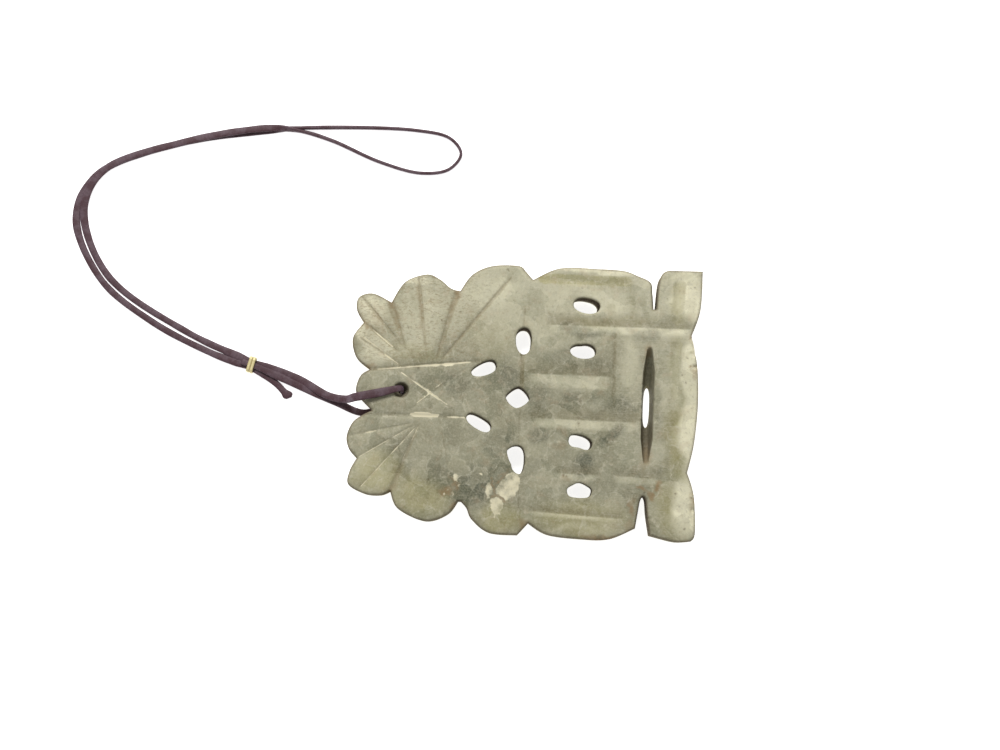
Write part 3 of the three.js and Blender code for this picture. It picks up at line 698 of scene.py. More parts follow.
def groove_rows(groove, step):
    """Points down the middle and along both sides of a cut line."""
    x0, y0, x1, y1, width, _, left = groove
    length = math.hypot(x1 - x0, y1 - y0)
    count = max(2, round(length / step))
    share = np.arange(count + 1) / count
    run = np.array([x1 - x0, y1 - y0]) / length
    side = np.array([-run[1], run[0]])
    middle = np.array([x0, y0]) + (share * length)[:, None] * run
    half = (width / 2 * (1 - (1 - left) * share))[:, None]
    rows = [middle, middle + side * half, middle - side * half]
    if width > 0.8:
        rows += [middle + side * half / 2, middle - side * half / 2]
    return np.vstack(rows)


def band_rows(band, step):
    """Points along a band's crests and close to both sides of its low edge."""
    left, right, low, tilt, slope, _, rise = band
    x = np.arange(left, right, step)
    edge = low + tilt * (x - left)
    return np.vstack([np.stack([x, edge + level], axis=1) for level in (slope, 0.14, 0, -0.14, -rise)])


def slot_rows():
    """Points in the saw cut, closest together on its steep flanks."""
    across = np.array(sorted({-value for value in SLOT_COLUMNS} | set(SLOT_COLUMNS)))
    along = np.arange(-9.9, 10.0, 0.3)
    grid = np.array(list(itertools.product(across, along)))
    return grid + (SLOT["x"], SLOT["y"])


def hex_grid(step):
    """An even fill of triangles over the whole stone, with each point moved a little."""
    half_length, half_width = HALF_SPAN
    rows = []
    for number, y in enumerate(np.arange(-half_width, half_width, step * 0.866)):
        x = np.arange(-half_length, half_length, step) + step / 2 * (number % 2)
        rows.append(np.stack([x, np.full(len(x), y)], axis=1))
    grid = np.vstack(rows)
    cells = (grid * 1000).astype(np.int64)
    shift = np.stack([corner_value(cells, seed) for seed in (3, 4)], axis=1)
    return grid + 0.16 * step * shift


def thin_out(kept, more, gap):
    """The points of more that lie at least gap from every point kept before them."""
    cells = {}
    for x, y in kept:
        cells.setdefault((int(x // gap), int(y // gap)), []).append((x, y))
    chosen = []
    for x, y in more:
        column, row = int(x // gap), int(y // gap)
        near = itertools.chain.from_iterable(
            cells.get((column + i, row + j), ()) for i in (-1, 0, 1) for j in (-1, 0, 1)
        )
        if all((x - u) ** 2 + (y - v) ** 2 >= gap * gap for u, v in near):
            cells.setdefault((column, row), []).append((x, y))
            chosen.append((x, y))
    return np.array(chosen).reshape(-1, 2)


def stone_mask(points, outline, openings):
    """Which points lie in the outline and in none of the openings."""
    keep = inside(points, outline)
    for loop in openings:
        keep &= ~inside(points, loop)
    return keep


def triangles_in(points, loops, outline, openings):
    """Triangles over all points that keep every loop's sides as edges, with the openings left out."""
    edges = []
    first = 0
    for loop in loops:
        count = len(loop)
        edges += [(first + i, first + (i + 1) % count) for i in range(count)]
        first += count
    flat = [Vector((float(x), float(y))) for x, y in points]
    made = geometry.delaunay_2d_cdt(flat, edges, [], 0, 1e-7, True)
    order = np.array([sources[0] if sources else -1 for sources in made[3]])
    faces = order[np.array(made[2])]
    if len(made[0]) != len(points) or faces.min() < 0:
        raise ValueError("two of the jade's loops cross")
    faces = faces[stone_mask(points[faces].mean(axis=1), outline, openings)]
    a, b, c = (points[faces[:, i]] for i in range(3))
    turn = (b[:, 0] - a[:, 0]) * (c[:, 1] - a[:, 1]) - (b[:, 1] - a[:, 1]) * (c[:, 0] - a[:, 0])
    faces[turn < 0] = faces[turn < 0][:, ::-1]
    return faces


def add_points(kept, more, outline, openings, solid, clear, gap):
    """Adds those of more that lie in the stone, clear of the solid loops and of the points before them."""
    more = more[stone_mask(more, outline, openings)]
    more = more[distance_to_loops(more, solid) > clear]
    return np.vstack([kept, thin_out(kept, more, gap)])


def slot_points(outline, slot_mouth, slot_opening):
    """Points on the sides of the saw slot, between its mouth and its opening."""
    points = slot_rows()
    points = points[inside(points, inner_ring(slot_mouth, 0.03))]
    points = points[stone_mask(points, outline, [inner_ring(slot_opening, -0.04)])]
    return thin_out(np.vstack([slot_opening, slot_mouth]), points, SLOT_GAP)


def front_points(outline, holes, slot_mouth, slot_opening):
    """Every point of the front: the loops first, then rows along the cuts, then an even fill."""
    openings = holes + [slot_opening]
    loops = [outline] + openings + [slot_mouth]
    rings = [inner_ring(outline, depth) for depth in (0.12, 0.3, 0.5)]
    rings += [inner_ring(hole[::-1], depth) for hole in holes for depth in (0.08, 0.2)]
    rings += [inner_ring(slot_mouth[::-1], 0.12)]
    rows = [groove_rows(groove, FRONT_STEP) for groove in GROOVES]
    rows += [band_rows(band, FRONT_STEP) for band in BANDS]
    closed = openings + [slot_mouth]
    solid = [outline] + holes + [slot_mouth]
    kept = np.vstack(loops)
    for more, clear, gap in (
        (np.vstack(rings), 0.06, 0.1),
        (np.vstack(rows), 0.15, 0.13),
        (hex_grid(FRONT_STEP), 0.18, 0.19),
    ):
        kept = add_points(kept, more, outline, closed, solid, clear, gap)
    return np.vstack([kept, slot_points(outline, slot_mouth, slot_opening)]), loops


def back_points(outline, openings):
    loops = [outline] + openings
    rings = [inner_ring(outline, depth) for depth in (0.15, 0.4)]
    rings += [inner_ring(loop[::-1], depth) for loop in openings for depth in (0.12, 0.3)]
    kept = np.vstack(loops)
    kept = add_points(kept, np.vstack(rings), outline, openings, loops, 0.08, 0.14)
    return add_points(kept, hex_grid(BACK_STEP), outline, openings, loops, 0.5, 0.4), loops


def ring_quads(first, second):
    """Quads between two rings of vertex numbers."""
    after = itertools.chain(range(1, len(first)), (0,))
    return [(second[i], first[i], first[j], second[j]) for i, j in enumerate(after)]


def wall_rows(upper, lower, steps, outer):
    """Rings of points between a loop's upper and lower edge, a little rough as sawn or filed stone is."""
    rows = []
    for step in range(1, steps):
        share = step / steps
        row = upper * (1 - share) + lower * share
        grain = noise(row * (1, 1, 0.6), 0.7, 41) + 0.6 * noise(row, 0.3, 43)
        pull = (EDGE_ROUGHNESS if outer else -OPENING_ROUGHNESS) * (1 + grain)
        row[:, :2] += (inner_ring(row[:, :2], 1.0) - row[:, :2]) * pull[:, None]
        rows.append(row)
    return rows


def wall_shade(row, outer, in_cord_hole, share):
    """Painted shade on a wall: down the cord's hole and the openings, and on the outer edge strongest at
    its rim, fading lower down, and in the two saw-cut notches beside the foot.
    """
    if in_cord_hole:
        return np.full(len(row), CORD_HOLE_SHADE)
    if not outer:
        return np.full(len(row), OPENING_SHADE)
    in_notch = (np.abs(row[:, 0] - 21.2) < 1.9) & (np.abs(row[:, 1]) > 15)
    return np.where(in_notch, NOTCH_SHADE, EDGE_SHADE * (1 - 0.6 * share))


def cord_hole_rows(upper, lower, steps):
    """Rings down the cord's hole, narrow at its waist."""
    rows = []
    waist = round_loop(CORD_HOLE_WAIST)
    for step in range(1, steps):
        share = step / steps
        row = upper * (1 - share) + lower * share
        end = upper if share < 0.5 else lower
        near = 1 - abs(share - 0.5) * 2
        row[:, :2] = end[:, :2] * (1 - near) + waist * near
        rows.append(row)
    return rows


def front_shade(front, face, top, to_outline):
    """Painted shade down the saw slot, most at its lower end, and a little along the outer rim."""
    upper_end, lower_end = SLOT_SHADE
    towards_low = smooth_step(-front[:, 1], -6, 8)
    in_slot = (upper_end + (lower_end - upper_end) * towards_low) * smooth_step(face - top, 0.1, 0.9)
    on_edge = EDGE_SHADE * (1 - smooth_step(to_outline, 0.1, 0.42))
    return np.maximum(in_slot, on_edge)


def jade_walls(upper, lower, loops):
    """(rings of vertices, faces, painted shade) of the walls that join front and back along every loop."""
    vertices, faces, grime_and_shade = [], [], []
    count = len(upper) + len(lower)
    start = 0
    for number, loop in enumerate(loops):
        outer = number == 0
        in_cord_hole = number == len(loops) - 2
        in_slot = number == len(loops) - 1
        ring = np.arange(start, start + len(loop))
        start += len(loop)
        if in_slot:
            between = []
        elif in_cord_hole:
            between = cord_hole_rows(upper[ring], lower[ring], CORD_HOLE_STEPS)
        else:
            between = wall_rows(upper[ring], lower[ring], WALL_STEPS, outer)
        rings = [ring]
        for step, row in enumerate(between):
            vertices.append(row)
            grime_and_shade.append(wall_shade(row, outer, in_cord_hole, step / len(between)))
            rings.append(np.arange(count, count + len(row)))
            count += len(row)
        rings.append(ring + len(upper))
        for above, below in zip(rings, rings[1:]):
            faces += ring_quads(below, above) if outer else ring_quads(above, below)
    return vertices, faces, grime_and_shade


def jade_mesh():
    """(vertices, faces, how many vertices the front has, how much painted shade each has, with an even
    darkening on the back) of the whole stone, closed.
    """
    outline = outline_loop()
    holes = [pierced_loop(*shape[:7], number) for number, shape in enumerate(PIERCED)]
    under = [hole + shape[7:9] for hole, shape in zip(holes, PIERCED)]
    holes.append(round_loop(CORD_HOLE))
    under.append(round_loop(CORD_HOLE_FOOT))
    slot_mouth = slot_section(THICKNESS, 70)
    slot_opening = slot_section(SLOT_OPENING_HEIGHT, 22)
    under.append(slot_opening)
    front, loops = front_points(outline, holes, slot_mouth, slot_opening)
    front_faces = triangles_in(front, loops, outline, holes + [slot_opening])
    back, back_loops = back_points(outline, under)
    back_faces = triangles_in(back, back_loops, outline, under)[:, ::-1]

    to_outline = distance_to_loops(front, [outline])
    face = front_height(front, to_outline, distance_to_loops(front, holes))
    top = np.minimum(face, np.maximum(slot_floor(front), SLOT_OPENING_HEIGHT))
    low = back_height(back, distance_to_loops(back, [outline]), distance_to_loops(back, under[:-1]))
    upper = np.column_stack([front, top])
    lower = np.column_stack([back, low])
    walls, wall_quads, walls_shade = jade_walls(upper, lower, [outline] + under)
    grime_and_shade = [front_shade(front, face, top, to_outline), np.full(len(back), BACK_DARKENING)] + walls_shade
    faces = front_faces.tolist() + (back_faces + len(front)).tolist() + wall_quads
    return np.vstack([upper, lower] + walls), faces, len(front), np.concatenate(grime_and_shade)


# ---- Masks for the stone's colour ----
def spots(points, marks, ragged, cell, seed):
    """The strongest of the soft ragged-edged marks at each point."""
    total = np.zeros(len(points))
    push = ragged * np.stack([fractal(points, cell, seed), fractal(points, cell, seed + 9)], axis=1)
    moved = points + push
    for x, y, long, wide, strength, *turn in marks:
        radians = math.radians(sum(turn))
        dx, dy = moved[:, 0] - x, moved[:, 1] - y
        along = (dx * math.cos(radians) + dy * math.sin(radians)) / long
        across = (-dx * math.sin(radians) + dy * math.cos(radians)) / wide
        total = np.maximum(total, strength * (1 - smooth_step(np.hypot(along, across), 0.35, 1.35)))
    return total


def dust_lines(points):
    total = np.zeros(len(points))
    for *line, half, strength in DUSTED:
        distance, share = distance_to_line(points, line)
        patchy = strength * (0.85 + 0.35 * noise(points, 0.9, 51))
        lens = half * np.sqrt(np.clip(1 - (2 * share - 1) ** 4, 0, 1)) * (1 + 0.25 * noise(points, 1.1, 53))
        total = np.maximum(total, patchy * (1 - smooth_step(distance, lens * 0.8, lens * 1.2 + 0.03)))
    return total


def cream_patches(points):
    """Angular patches with crisp edges."""
    total = np.zeros(len(points))
    moved = wandering(points, 0.1, 0.5, 63)
    for patch in CREAM_PATCHES:
        loop = np.array(patch)
        middle = loop.mean(axis=0)
        loop = middle + CREAM_SCALE * (loop - middle)
        near = np.flatnonzero(np.abs(moved - loop.mean(axis=0)).max(axis=1) < 3)
        within = near[inside(moved[near], loop)]
        total[within] = smooth_step(distance_to_loops(moved[within], [loop]), 0.0, 0.14)
    return total


def line_marks(points, lines, soft):
    """The strongest of the lines at each point, with soft edges."""
    total = np.zeros(len(points))
    for *line, half, strength in lines:
        distance, _ = distance_to_line(points, line)
        total = np.maximum(total, strength * (1 - smooth_step(distance, half, half + soft)))
    return total


def pits(points):
    total = np.zeros(len(points))
    for x, y, reach in PITS:
        distance = np.hypot(points[:, 0] - x, points[:, 1] - y)
        total = np.maximum(total, 1 - smooth_step(distance, 0.4 * reach, 1.3 * reach))
    return total


def shaded_olive_strips(points):
    total = np.zeros(len(points))
    moved = wandering(points, 0.12, 1.4, 57)
    for *line, half, strength in STRIPS:
        distance, share = distance_to_line(moved, line)
        strong = strength * (0.85 + 0.3 * noise(points, 2.0, 59)) * (1 - 0.35 * share)
        total = np.maximum(total, strong * (1 - smooth_step(distance, half - 0.1, half + 0.1)))
    return total


def cut_shade_and_stain(points):
    """Painted shade low in the cut lines, strongest at the leaves' rims; a small share also goes into the
    stains.
    """
    total = np.zeros(len(points))
    for line in VEINS + TONGUE_EDGES:
        x0, y0, _, _, width, _, left = line
        distance, share = distance_to_line(points, line)
        half = width / 2 * (1 - (1 - left) * share) * np.sqrt(np.clip(share / 0.25, 0.1, 1))
        strength = (1.0 if y0 > 0 else 0.7 if x0 > -23 else 0.25) * (1 - 0.4 * share)
        total = np.maximum(total, strength * (1 - smooth_step(distance, 0.6 * half, 1.1 * half)))
    return total


def shaded_slopes(points):
    """(how much painted shade each slope and cut gets, how much painted light the stone gets just past a
    step).
    """
    shade = np.zeros(len(points))
    painted_step_light = np.zeros(len(points))
    for band in BANDS:
        left, right, low, tilt, slope, _, rise = band
        x, y = points.T
        y = y - tilt * (x - left)
        above = window(y, low - 0.1, low + 0.15, low + 0.3, low + 1.15 * slope)
        shade = np.maximum(shade, band_ends(x, band) * above)
        past = window(y, low - rise - 0.3, low - rise + 0.3, low - 0.1, low + 0.05)
        painted_step_light = np.maximum(painted_step_light, window(x, left, left + 1.5, right - 1.5, right) * past)
    for groove in DARK_CUTS:
        shade = np.maximum(shade, 1.7 * np.minimum(1, groove_depth(points, groove) / 0.3))
    shade = np.maximum(shade, line_marks(points, SHADED_LINES, 0.12))
    patchy = 1 + 0.35 * fractal(points, 2.2, 111)
    streaky = 1.0 + 0.7 * fractal(points * (0.25, 1.5), 1.2, 113)
    return shade * patchy, painted_step_light * streaky


def paint_jade(made, vertices, front_count, grime_and_shade):
    """Keeps every mask that the jade's material reads."""
    flat = vertices[:, :2]
    x, y = flat.T
    on_front = np.zeros(len(vertices))
    on_front[:front_count] = 1
    cracks = line_marks(wandering(flat, 0.25, 0.7, 65), CREAM_CRACKS, 0.17)
    patches = smooth_step(spots(flat, CREAMS, 0.3, 0.9, 61), 0.42, 0.58)
    patches = np.maximum(patches, cream_patches(flat)) * (0.62 + 0.22 * noise(flat, 0.8, 67))
    shade_and_stain_in_cuts = cut_shade_and_stain(flat)
    stain_and_shade = np.maximum(spots(flat, STAIN_AND_SHADE_SPOTS, 0.7, 0.9, 71), 0.22 * shade_and_stain_in_cuts * on_front)
    shade, painted_step_light = shaded_slopes(flat)
    strips = shaded_olive_strips(flat) * on_front
    # painted light: the stone paler towards the top, where the light falls
    painted_light_towards_top = 0.38 * smooth_step(y, 6, 13)
    pale_and_lit = np.maximum(spots(flat, PALE_AND_LIT_SPOTS, 1.6, 4.5, 91), painted_light_towards_top + 0.36 * painted_step_light * on_front)
    masks = {
        "cloud": spots(flat, CLOUDS, 1.3, 3.5, 81),
        "pale_and_lit": pale_and_lit * (1 - 0.75 * strips),
        "shade": np.maximum(shade, shade_and_stain_in_cuts) * on_front,
        # painted shade in the slot, openings, notches and along the rim, with the small dark pits
        "grime_and_shade": np.maximum(grime_and_shade, 0.7 * pits(flat) * on_front),
        "sawn": on_front * window(x, 14, 17, 24, 27),
        "worn": on_front * smooth_step(y, 3, 7) * (1 - smooth_step(x, -12, -3)),
        "olive_and_shade": np.maximum(spots(flat, OLIVE_AND_SHADE_SPOTS, 1.2, 3.5, 101), strips),
        "stain_and_shade": np.maximum(stain_and_shade, 0.8 * cracks * on_front),
        "cream": on_front * np.maximum(patches * (1 - 0.9 * cracks), dust_lines(flat)),
    }
    for name, values in masks.items():
        add_mask(made, name, values)


# ---- Materials ----
def new_material(name, sockets):
    """(material, its shader) with the shader's own sockets set to the given values."""
    material = bpy.data.materials.new(name)
    material.use_nodes = True
    shader = material.node_tree.nodes["Principled BSDF"]
    for socket, value in sockets.items():
        shader.inputs[socket].default_value = value
    return material, shader


def linear(*colour):
    """A colour in 0 to 255 as the shader takes it."""
    return (*Color([value / 255 for value in colour]).from_srgb_to_scene_linear(), 1)


class Nodes:
    """Short calls for building one material's node tree. Each gives back the new node's output."""

    def __init__(self, material):
        self.tree = material.node_tree

    def feed(self, socket, value):
        """Links an output to a socket, or sets the socket's own value."""
        if isinstance(value, bpy.types.NodeSocket):
            self.tree.links.new(value, socket)
        else:
            socket.default_value = value

    def add(self, kind, output, inputs, **settings):
        node = self.tree.nodes.new("ShaderNode" + kind)
        for name, value in settings.items():
            setattr(node, name, value)
        for name, value in inputs.items():
            self.feed(node.inputs[name], value)
        return node.outputs[output]

    def position(self):
        """The object's own coordinates in millimetres."""
        metres = self.add("TexCoord", "Object", {})
        return self.add("VectorMath", "Vector", {0: metres, "Scale": 1 / MM}, operation="SCALE")

    def noise(self, place, scale, detail=4, rough=0.55, distortion=0.0):
        return self.add("TexNoise", "Fac", {
            "Vector": place, "Scale": scale, "Detail": detail, "Roughness": rough, "Distortion": distortion,
        })

    def mask(self, name):
        return self.add("Attribute", "Fac", {}, attribute_name=name)

    def ramp(self, value, low, high, start=0.0, end=1.0):
        return self.add("MapRange", "Result", {
            "Value": value, "From Min": low, "From Max": high, "To Min": start, "To Max": end,
        }, interpolation_type="SMOOTHSTEP")

    def plus(self, first, second):
        return self.add("Math", 0, {0: first, 1: second}, operation="ADD")

    def times(self, first, second):
        return self.add("Math", 0, {0: first, 1: second}, operation="MULTIPLY")

    def vector(self, operation, first, second):
        return self.add("VectorMath", "Vector", {0: first, 1: second}, operation=operation)

    def warped(self, place, scale, reach):
        """The same place, pushed about by as much as that reach in millimetres."""
        colour = self.add("TexNoise", "Color", {"Vector": place, "Scale": scale, "Detail": 3})
        centred = self.vector("SUBTRACT", colour, (0.5, 0.5, 0.5))
        push = self.vector("MULTIPLY", centred, (4 * reach, 4 * reach, 0))
        return self.vector("ADD", place, push)

    def patches(self, place, scale):
        """A different number from 0 to 1 for each patch of the stone."""
        colour = self.add("TexVoronoi", "Color", {"Vector": place, "Scale": scale})
        return self.add("SeparateColor", 0, {"Color": colour})

    def hairlines(self, place, scale):
        """1 on the lines where those patches meet."""
        distance = self.add("TexVoronoi", "Distance", {"Vector": place, "Scale": scale},
                            feature="DISTANCE_TO_EDGE")
        return self.ramp(distance, 0.0, 0.05, 1.0, 0.0)

    def mix(self, share, first, second):
        return self.add("Mix", 2, {0: share, 6: first, 7: second}, data_type="RGBA")

    def layered(self, colour, layers):
        """A colour with other colours laid over it in turn, each by its own share."""
        for share, tint in layers:
            colour = self.mix(share, colour, linear(*tint))
        return colour

    def bump(self, height, strength, distance, *normal):
        inputs = {"Height": height, "Strength": strength, "Distance": distance * MM}
        inputs.update({"Normal": below for below in normal})
        return self.add("Bump", "Normal", inputs)


def jade_material():
    """Grey-green jade: clouded and mottled, with stained and dusty cuts and a dull hand polish, and with
    painted shade on its slopes, in its cuts, slot and openings and painted light past its steps, towards
    its top and on some rims.
    """
    material, shader = new_material("clouded_jade", {
        "IOR": 1.45,
        "Specular IOR Level": 0.12,
        "Subsurface Weight": 0.12,
        "Subsurface Radius": (1.0, 0.95, 0.7),
        "Subsurface Scale": 0.8 * MM,
    })
    nodes = Nodes(material)
    ramp, times = nodes.ramp, nodes.times
    place = nodes.position()

    def stretched_noise(stretch, detail, rough):
        return nodes.noise(nodes.vector("MULTIPLY", place, stretch), 1.0, detail, rough)

    broad = nodes.noise(place, 0.16, 4, 0.55)
    middle = nodes.noise(place, 0.7, 5, 0.6, 0.6)
    small = nodes.noise(place, 1.5, 5, 0.65, 0.4)
    fine = nodes.noise(place, 3.2, 4, 0.6)
    grains = nodes.noise(place, 1.9, 6, 0.8)
    tinge = nodes.noise(place, 0.5, 4, 0.6)
    uneven = nodes.warped(place, 0.55, 0.75)
    large_patches = nodes.patches(uneven, 0.3)
    small_patches = nodes.patches(uneven, 0.62)
    crackle = nodes.hairlines(uneven, 0.3)
    wrinkles = times(ramp(stretched_noise((1.6, 3.6, 1), 6, 0.75), 0.52, 0.36), nodes.mask("worn"))
    scratches = times(nodes.mask("sawn"), ramp(stretched_noise((0.5, 7, 1), 3, 0.6), 0.5, 0.62))
    streaks = stretched_noise((4, 0.25, 1), 3, 0.6)
    grime_and_shade = nodes.mask("grime_and_shade")
    dust = nodes.plus(nodes.mask("cream"), times(fine, 0.3))
    colour = nodes.mix(ramp(broad, 0.35, 0.65), linear(138, 136, 115), linear(153, 151, 129))
    colour = nodes.layered(colour, (
        # olive stone, with painted shade in the sunk strips and flutes and on the top band's slope
        (times(nodes.mask("olive_and_shade"), 0.9), (158, 152, 106)),
        # paler stone, with painted light past the steps, towards the top and on some rims
        (times(nodes.mask("pale_and_lit"), 0.95), (233, 229, 200)),
        (times(nodes.mask("cloud"), ramp(middle, 0.3, 0.6, 0.75, 1.0)), (89, 92, 78)),
        (times(times(nodes.mask("shade"), ramp(small, 0.3, 0.7, 0.75, 1.0)), 0.5), (116, 108, 80)),
        (ramp(large_patches, 0.4, 1.0, 0.0, 0.26), (190, 186, 158)),
        (ramp(large_patches, 0.6, 0.0, 0.0, 0.24), (108, 112, 84)),
        (ramp(small_patches, 0.5, 1.0, 0.0, 0.2), (176, 174, 154)),
        (ramp(small_patches, 0.5, 0.0, 0.0, 0.18), (124, 116, 92)),
        (times(ramp(middle, 0.52, 0.66), 0.3), (196, 190, 166)),
        (times(ramp(small, 0.55, 0.7), 0.3), (118, 113, 90)),
        (times(wrinkles, 0.62), (136, 122, 94)),
        (times(ramp(tinge, 0.55, 0.7), 0.18), (172, 146, 116)),
        (times(times(crackle, ramp(middle, 0.42, 0.6)), 0.3), (206, 203, 182)),
        (ramp(fine, 0.42, 0.62, 0.0, 0.14), (216, 208, 184)),
        (ramp(grains, 0.46, 0.34, 0.0, 0.28), (122, 114, 84)),
        (ramp(grains, 0.54, 0.66, 0.0, 0.16), (240, 233, 210)),
        (times(scratches, 0.18), (205, 200, 178)),
        # painted shade in the slot, openings, cord hole and notches and along the rim, with small dark pits
        # and a darker back
        (times(grime_and_shade, ramp(streaks, 0.35, 0.65, 0.86, 1.0)), (88, 72, 54)),
        # stains, with painted shade on the top band's slope and a little in the cut lines
        (times(times(nodes.mask("stain_and_shade"), ramp(fine, 0.25, 0.6, 0.5, 1.0)), 0.7), (143, 118, 84)),
        (ramp(dust, 0.45, 0.95), (224, 217, 188)),
    ))
    nodes.feed(shader.inputs["Base Color"], colour)
    nodes.feed(shader.inputs["Roughness"], nodes.plus(ramp(fine, 0.3, 0.7, 0.45, 0.6), times(grime_and_shade, 0.45)))
    grain = nodes.bump(nodes.noise(place, 5.5, 5, 0.7), 0.5, 0.05)
    lines = nodes.bump(scratches, 0.3, 0.05, grain)
    nodes.feed(shader.inputs["Normal"], nodes.bump(middle, 0.4, 0.15, lines))
    return material


def silk_material():
    """Plum-brown braided silk with a soft sheen, with painted shade along its edges and in the braid's
    hollows and painted lavender highlights.
    """
    material, shader = new_material("plum_silk", {
        "Roughness": 0.62,
        "Sheen Weight": 0.35,
        "Sheen Roughness": 0.4,
        "Sheen Tint": linear(190, 165, 195),
    })
    nodes = Nodes(material)
    place = nodes.position()
    broad = nodes.noise(place, 0.6)
    fine = nodes.noise(place, 6, 3, 0.6)
    colour = nodes.mix(nodes.ramp(broad, 0.4, 0.6), linear(70, 41, 48), linear(92, 72, 80))
    # painted shade in the braid's hollows and along the edges
    crest_light = nodes.ramp(nodes.mask("crest_light"), 0.0, 1.0, 0.72, 1.0)
    colour = nodes.mix(crest_light, linear(60, 41, 47), colour)
    # lighter lavender flecks: painted highlights of the silk's sheen
    colour = nodes.layered(colour, ((nodes.ramp(fine, 0.45, 0.7, 0.0, 0.3), (116, 90, 102)),))
    nodes.feed(shader.inputs["Base Color"], colour)
    nodes.feed(shader.inputs["Normal"], nodes.bump(nodes.noise(place, 9, 3, 0.6), 0.5, 0.04))
    return material


def gold_thread_material():
    """Pale gold metallic thread: painted light on the strands' outer faces, painted shade in the hollows
    between them, and painted glints.
    """
    material, shader = new_material("gold_thread", {"Metallic": 0.35, "Roughness": 0.4})
    nodes = Nodes(material)
    fine = nodes.noise(nodes.position(), 5, 3, 0.6)
    # painted light on the outward faces, painted shade in the hollows
    colour = nodes.mix(nodes.mask("crest_light"), linear(190, 172, 118), linear(228, 214, 160))
    # whitish flecks: painted glints
    colour = nodes.layered(colour, ((nodes.ramp(fine, 0.4, 0.7, 0.0, 0.35), (248, 238, 190)),))
    nodes.feed(shader.inputs["Base Color"], colour)
    return material


# ---- The cord ----
def route_curve(points, step):
    """Centripetal curve through the route: (places, tangents, rolls), about one step apart."""
    points = np.array(points, float)
    places, rolls = points[:, :3], points[:, 3]
    padded = np.vstack([2 * places[0] - places[1], places, 2 * places[-1] - places[-2]])
    made, runs, turns = [], [], []
    for index in range(len(places) - 1):
        before, start, end, after = padded[index: index + 4]
        steps = np.diff(padded[index: index + 4], axis=0)
        d0, d1, d2 = np.sqrt(np.linalg.norm(steps, axis=1))
        pull_in = (steps[0] / d0 - (end - before) / (d0 + d1) + steps[1] / d1) * d1
        pull_out = (steps[1] / d1 - (after - start) / (d1 + d2) + steps[2] / d2) * d1
        count = max(2, math.ceil(d1**2 / step))
        last = index == len(places) - 2
        t = (np.arange(count + 1 if last else count) / count)[:, None]
        piece, run = smooth_piece(start, end, pull_in, pull_out, t)
        made.append(piece)
        runs.append(run)
        turns.append(rolls[index] + (rolls[index + 1] - rolls[index]) * t[:, 0])
    runs = np.vstack(runs)
    return np.vstack(made), runs / np.linalg.norm(runs, axis=1)[:, None], np.concatenate(turns)


def turned_about(vector, axis, angle):
    return vector * math.cos(angle) + np.cross(axis, vector) * math.sin(angle)


def flat_frames(tangents, rolls):
    """The cord's width and thickness directions: level, but for its roll."""
    side = np.zeros(3)
    widths, heights = [], []
    for tangent, roll in zip(tangents, rolls):
        level = np.cross((0, 0, 1), tangent)
        size = np.linalg.norm(level)
        if size > 0.5:
            side = (level if level @ side >= 0 else -level) / size
        else:
            side = side - (side @ tangent) * tangent
            side /= np.linalg.norm(side)
        width = turned_about(side, tangent, math.radians(roll))
        widths.append(width)
        heights.append(np.cross(tangent, width))
    return np.array(widths), np.array(heights)


def closed_end(distance, reach, least):
    """The share of its width that the cord has left near an end, which it rounds off."""
    inward = np.clip(distance / reach, 0, 1)
    return np.sqrt(np.clip(1 - (1 - inward) ** 2, least, 1))[:, None]


def cord_section(run, across, braid):
    """(half-widths, half-heights) of the cord at each distance along it and each corner round it."""
    stations, spread_wide, spread_high = np.array(CORD_SPREAD).T
    swell = BEAD["swell"] * np.exp(-(((run - BEAD["at"]) / BEAD["reach"]) ** 2))[:, None]
    ends = closed_end(run, 0.3, 0.02) * closed_end(run[-1] - run, 0.12, 0.3)
    uneven = 1 + 0.05 * noise(run[:, None], 2.6, 19)[:, None]
    wide = CORD_WIDTH / 2 * np.interp(run, stations, spread_wide)[:, None] * uneven
    high = CORD_THICKNESS / 2 * np.interp(run, stations, spread_high)[:, None]
    wide = wide * (1 + swell) * ends - BRAID_DEPTH
    high = high * (1 + 0.2 * swell) * ends - BRAID_DEPTH
    return wide, high + BRAID_DEPTH * braid * (1 - 0.6 * across)


def make_cord():
    """(the cord, the points of its middle line, its length)."""
    centres, tangents, rolls = route_curve(CORD_ROUTE, CORD_STEP)
    widths, heights = flat_frames(tangents, rolls)
    gaps = np.linalg.norm(np.diff(centres, axis=0), axis=1)
    run = np.concatenate([[0], np.cumsum(gaps)])
    across, up = squared_circle(np.arange(CORD_SIDES) / CORD_SIDES * 2 * math.pi, CORD_SQUARENESS)
    beside = np.abs(across)[None, :]
    braid = np.cos(2 * math.pi * (run[:, None] / BRAID_PITCH + 0.5 * beside))
    half_width, half_height = cord_section(run, beside, braid)
    wide = (half_width * across[None, :])[:, :, None] * widths[:, None, :]
    high = (half_height * up[None, :])[:, :, None] * heights[:, None, :]
    rings = centres[:, None, :] + wide + high
    # the sealed end leans to one side
    rings[:, :, :2] += (0.45 * np.exp(-run / 0.45))[:, None, None] * np.array([1.0, 0.25])
    vertices = rings.reshape(-1, 3)
    vertices[:, 2] = np.maximum(vertices[:, 2], 0.005 * (1 + np.tile(up, len(run))))
    numbers = np.arange(len(vertices)).reshape(-1, CORD_SIDES)
    faces = [tuple(numbers[0][::-1]), tuple(numbers[-1])]
    for ring, after in zip(numbers, numbers[1:]):
        faces += ring_quads(ring, after)
    cord = new_object("braided_cord", vertices, faces, silk_material())
    # painted shade: low in the braid's hollows and towards the cord's edges
    crest_light = smooth_step(braid, -1, 0.6) * (1 - 0.55 * smooth_step(beside, 0.55, 1.0))
    add_mask(cord, "crest_light", crest_light.ravel())
    return cord, centres, run[-1]


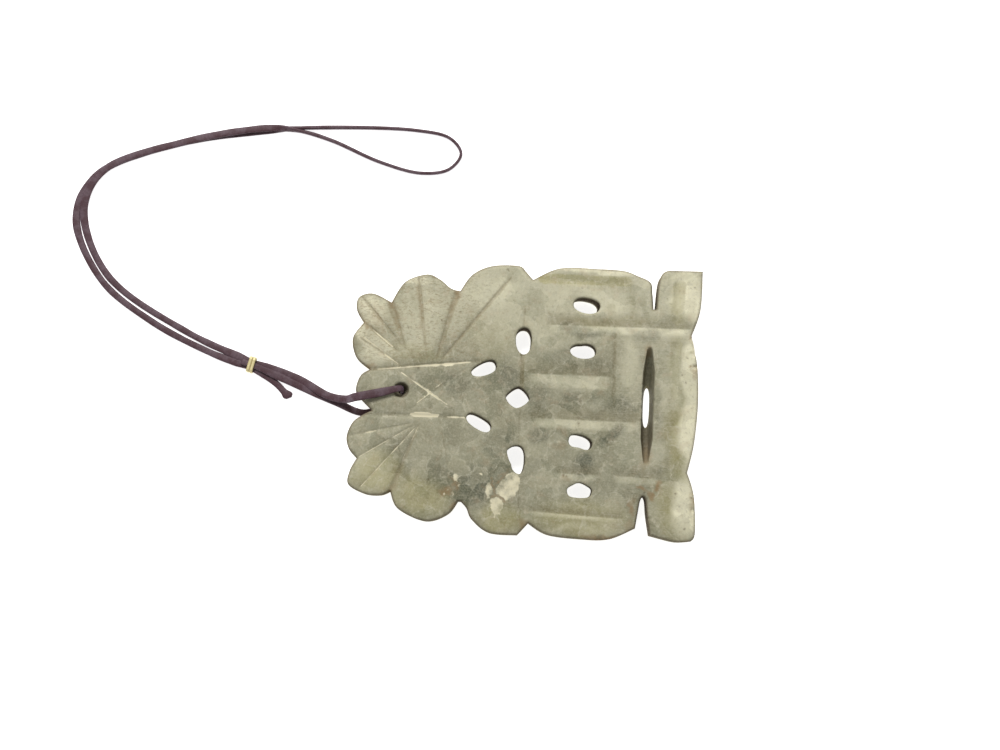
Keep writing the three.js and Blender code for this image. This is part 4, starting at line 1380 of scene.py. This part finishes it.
# ---- The gold binding ----
def rounded_ring(across, height, corner, share):
    """(place, direction outwards) on a rounded oblong, for a share of a turn."""
    flat_x = across / 2 - corner
    flat_y = height / 2 - corner
    quarter = corner * math.pi / 2
    whole_turn = 4 * (flat_x + flat_y + quarter)
    left = (share * whole_turn + flat_y) % whole_turn
    for turn in (0, 90, 180, 270):
        half, reach = (flat_y, flat_x) if turn % 180 == 0 else (flat_x, flat_y)
        out = np.array([math.cos(math.radians(turn)), math.sin(math.radians(turn))])
        ahead = np.array([-out[1], out[0]])
        if left <= 2 * half:
            break
        left -= 2 * half
        if left <= quarter:
            angle = left / corner
            leaning = out * math.cos(angle) + ahead * math.sin(angle)
            return out * reach + ahead * half + corner * leaning, leaning
        left -= quarter
    return out * (reach + corner) + ahead * (left - half), out


def binding_turn(shift, along, across, middle):
    """(vertices, how far out each faces, which the material paints as light and shade) of one closed turn,
    moved along the cord by that shift.
    """
    wall = BINDING["wall"]
    lift = np.array([0, 0, 1.0])
    vertices, crest_light = [], []
    for ring in range(BINDING_RINGS):
        place, out = rounded_ring(BINDING["across"] - wall, BINDING["height"] - wall, BINDING_CORNER,
                                  ring / BINDING_RINGS)
        centre = middle + place[0] * across + place[1] * lift + shift * along
        outward = out[0] * across + out[1] * lift
        for side in range(BINDING_SIDES):
            angle = 2 * math.pi * side / BINDING_SIDES
            wide = BINDING["length"] / BINDING_TURNS / 2 * math.cos(angle)
            vertices.append(centre + wide * along + wall / 2 * math.sin(angle) * outward)
            # how far out this point faces, painted as light on the thread and shade in its hollows
            crest_light.append(max(0, math.sin(angle)))
    return vertices, crest_light


def make_binding():
    """Smooth turns of flat gold thread side by side round the three strands."""
    slope = math.radians(BINDING["slope"])
    along = np.array([math.cos(slope), math.sin(slope), 0])
    across = np.array([-math.sin(slope), math.cos(slope), 0])
    middle = np.array([BINDING["x"], BINDING["y"], BINDING["bottom"] + BINDING["height"] / 2])
    vertices, faces, crest_light = [], [], []
    for turn in range(BINDING_TURNS):
        shift = BINDING["length"] / BINDING_TURNS * (turn - (BINDING_TURNS - 1) / 2)
        places, outwards = binding_turn(shift, along, across, middle)
        numbers = len(vertices) + np.arange(len(places)).reshape(-1, BINDING_SIDES)
        for ring, after in zip(numbers, np.roll(numbers, -1, axis=0)):
            faces += ring_quads(ring, after)
        vertices += places
        crest_light += outwards
    binding = new_object("gold_thread_binding", vertices, faces, gold_thread_material())
    add_mask(binding, "crest_light", crest_light)
    return binding


def make_jade():
    vertices, faces, front_count, grime_and_shade = jade_mesh()
    jade = new_object("carved_jade", vertices, faces, jade_material())
    paint_jade(jade, vertices, front_count, grime_and_shade)
    return jade


# ---- Everything in order ----
make_camera()
cord, cord_centres, cord_length = make_cord()
binding = make_binding()
jade = make_jade()
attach(cord, "root")
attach(binding, "root")
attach(jade, "root")
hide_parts("silk_cord")
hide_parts("gold_binding")
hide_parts("jade_plaque")
[tuple(point * MM) for point in cord_centres]
make_lights()
make_floor()
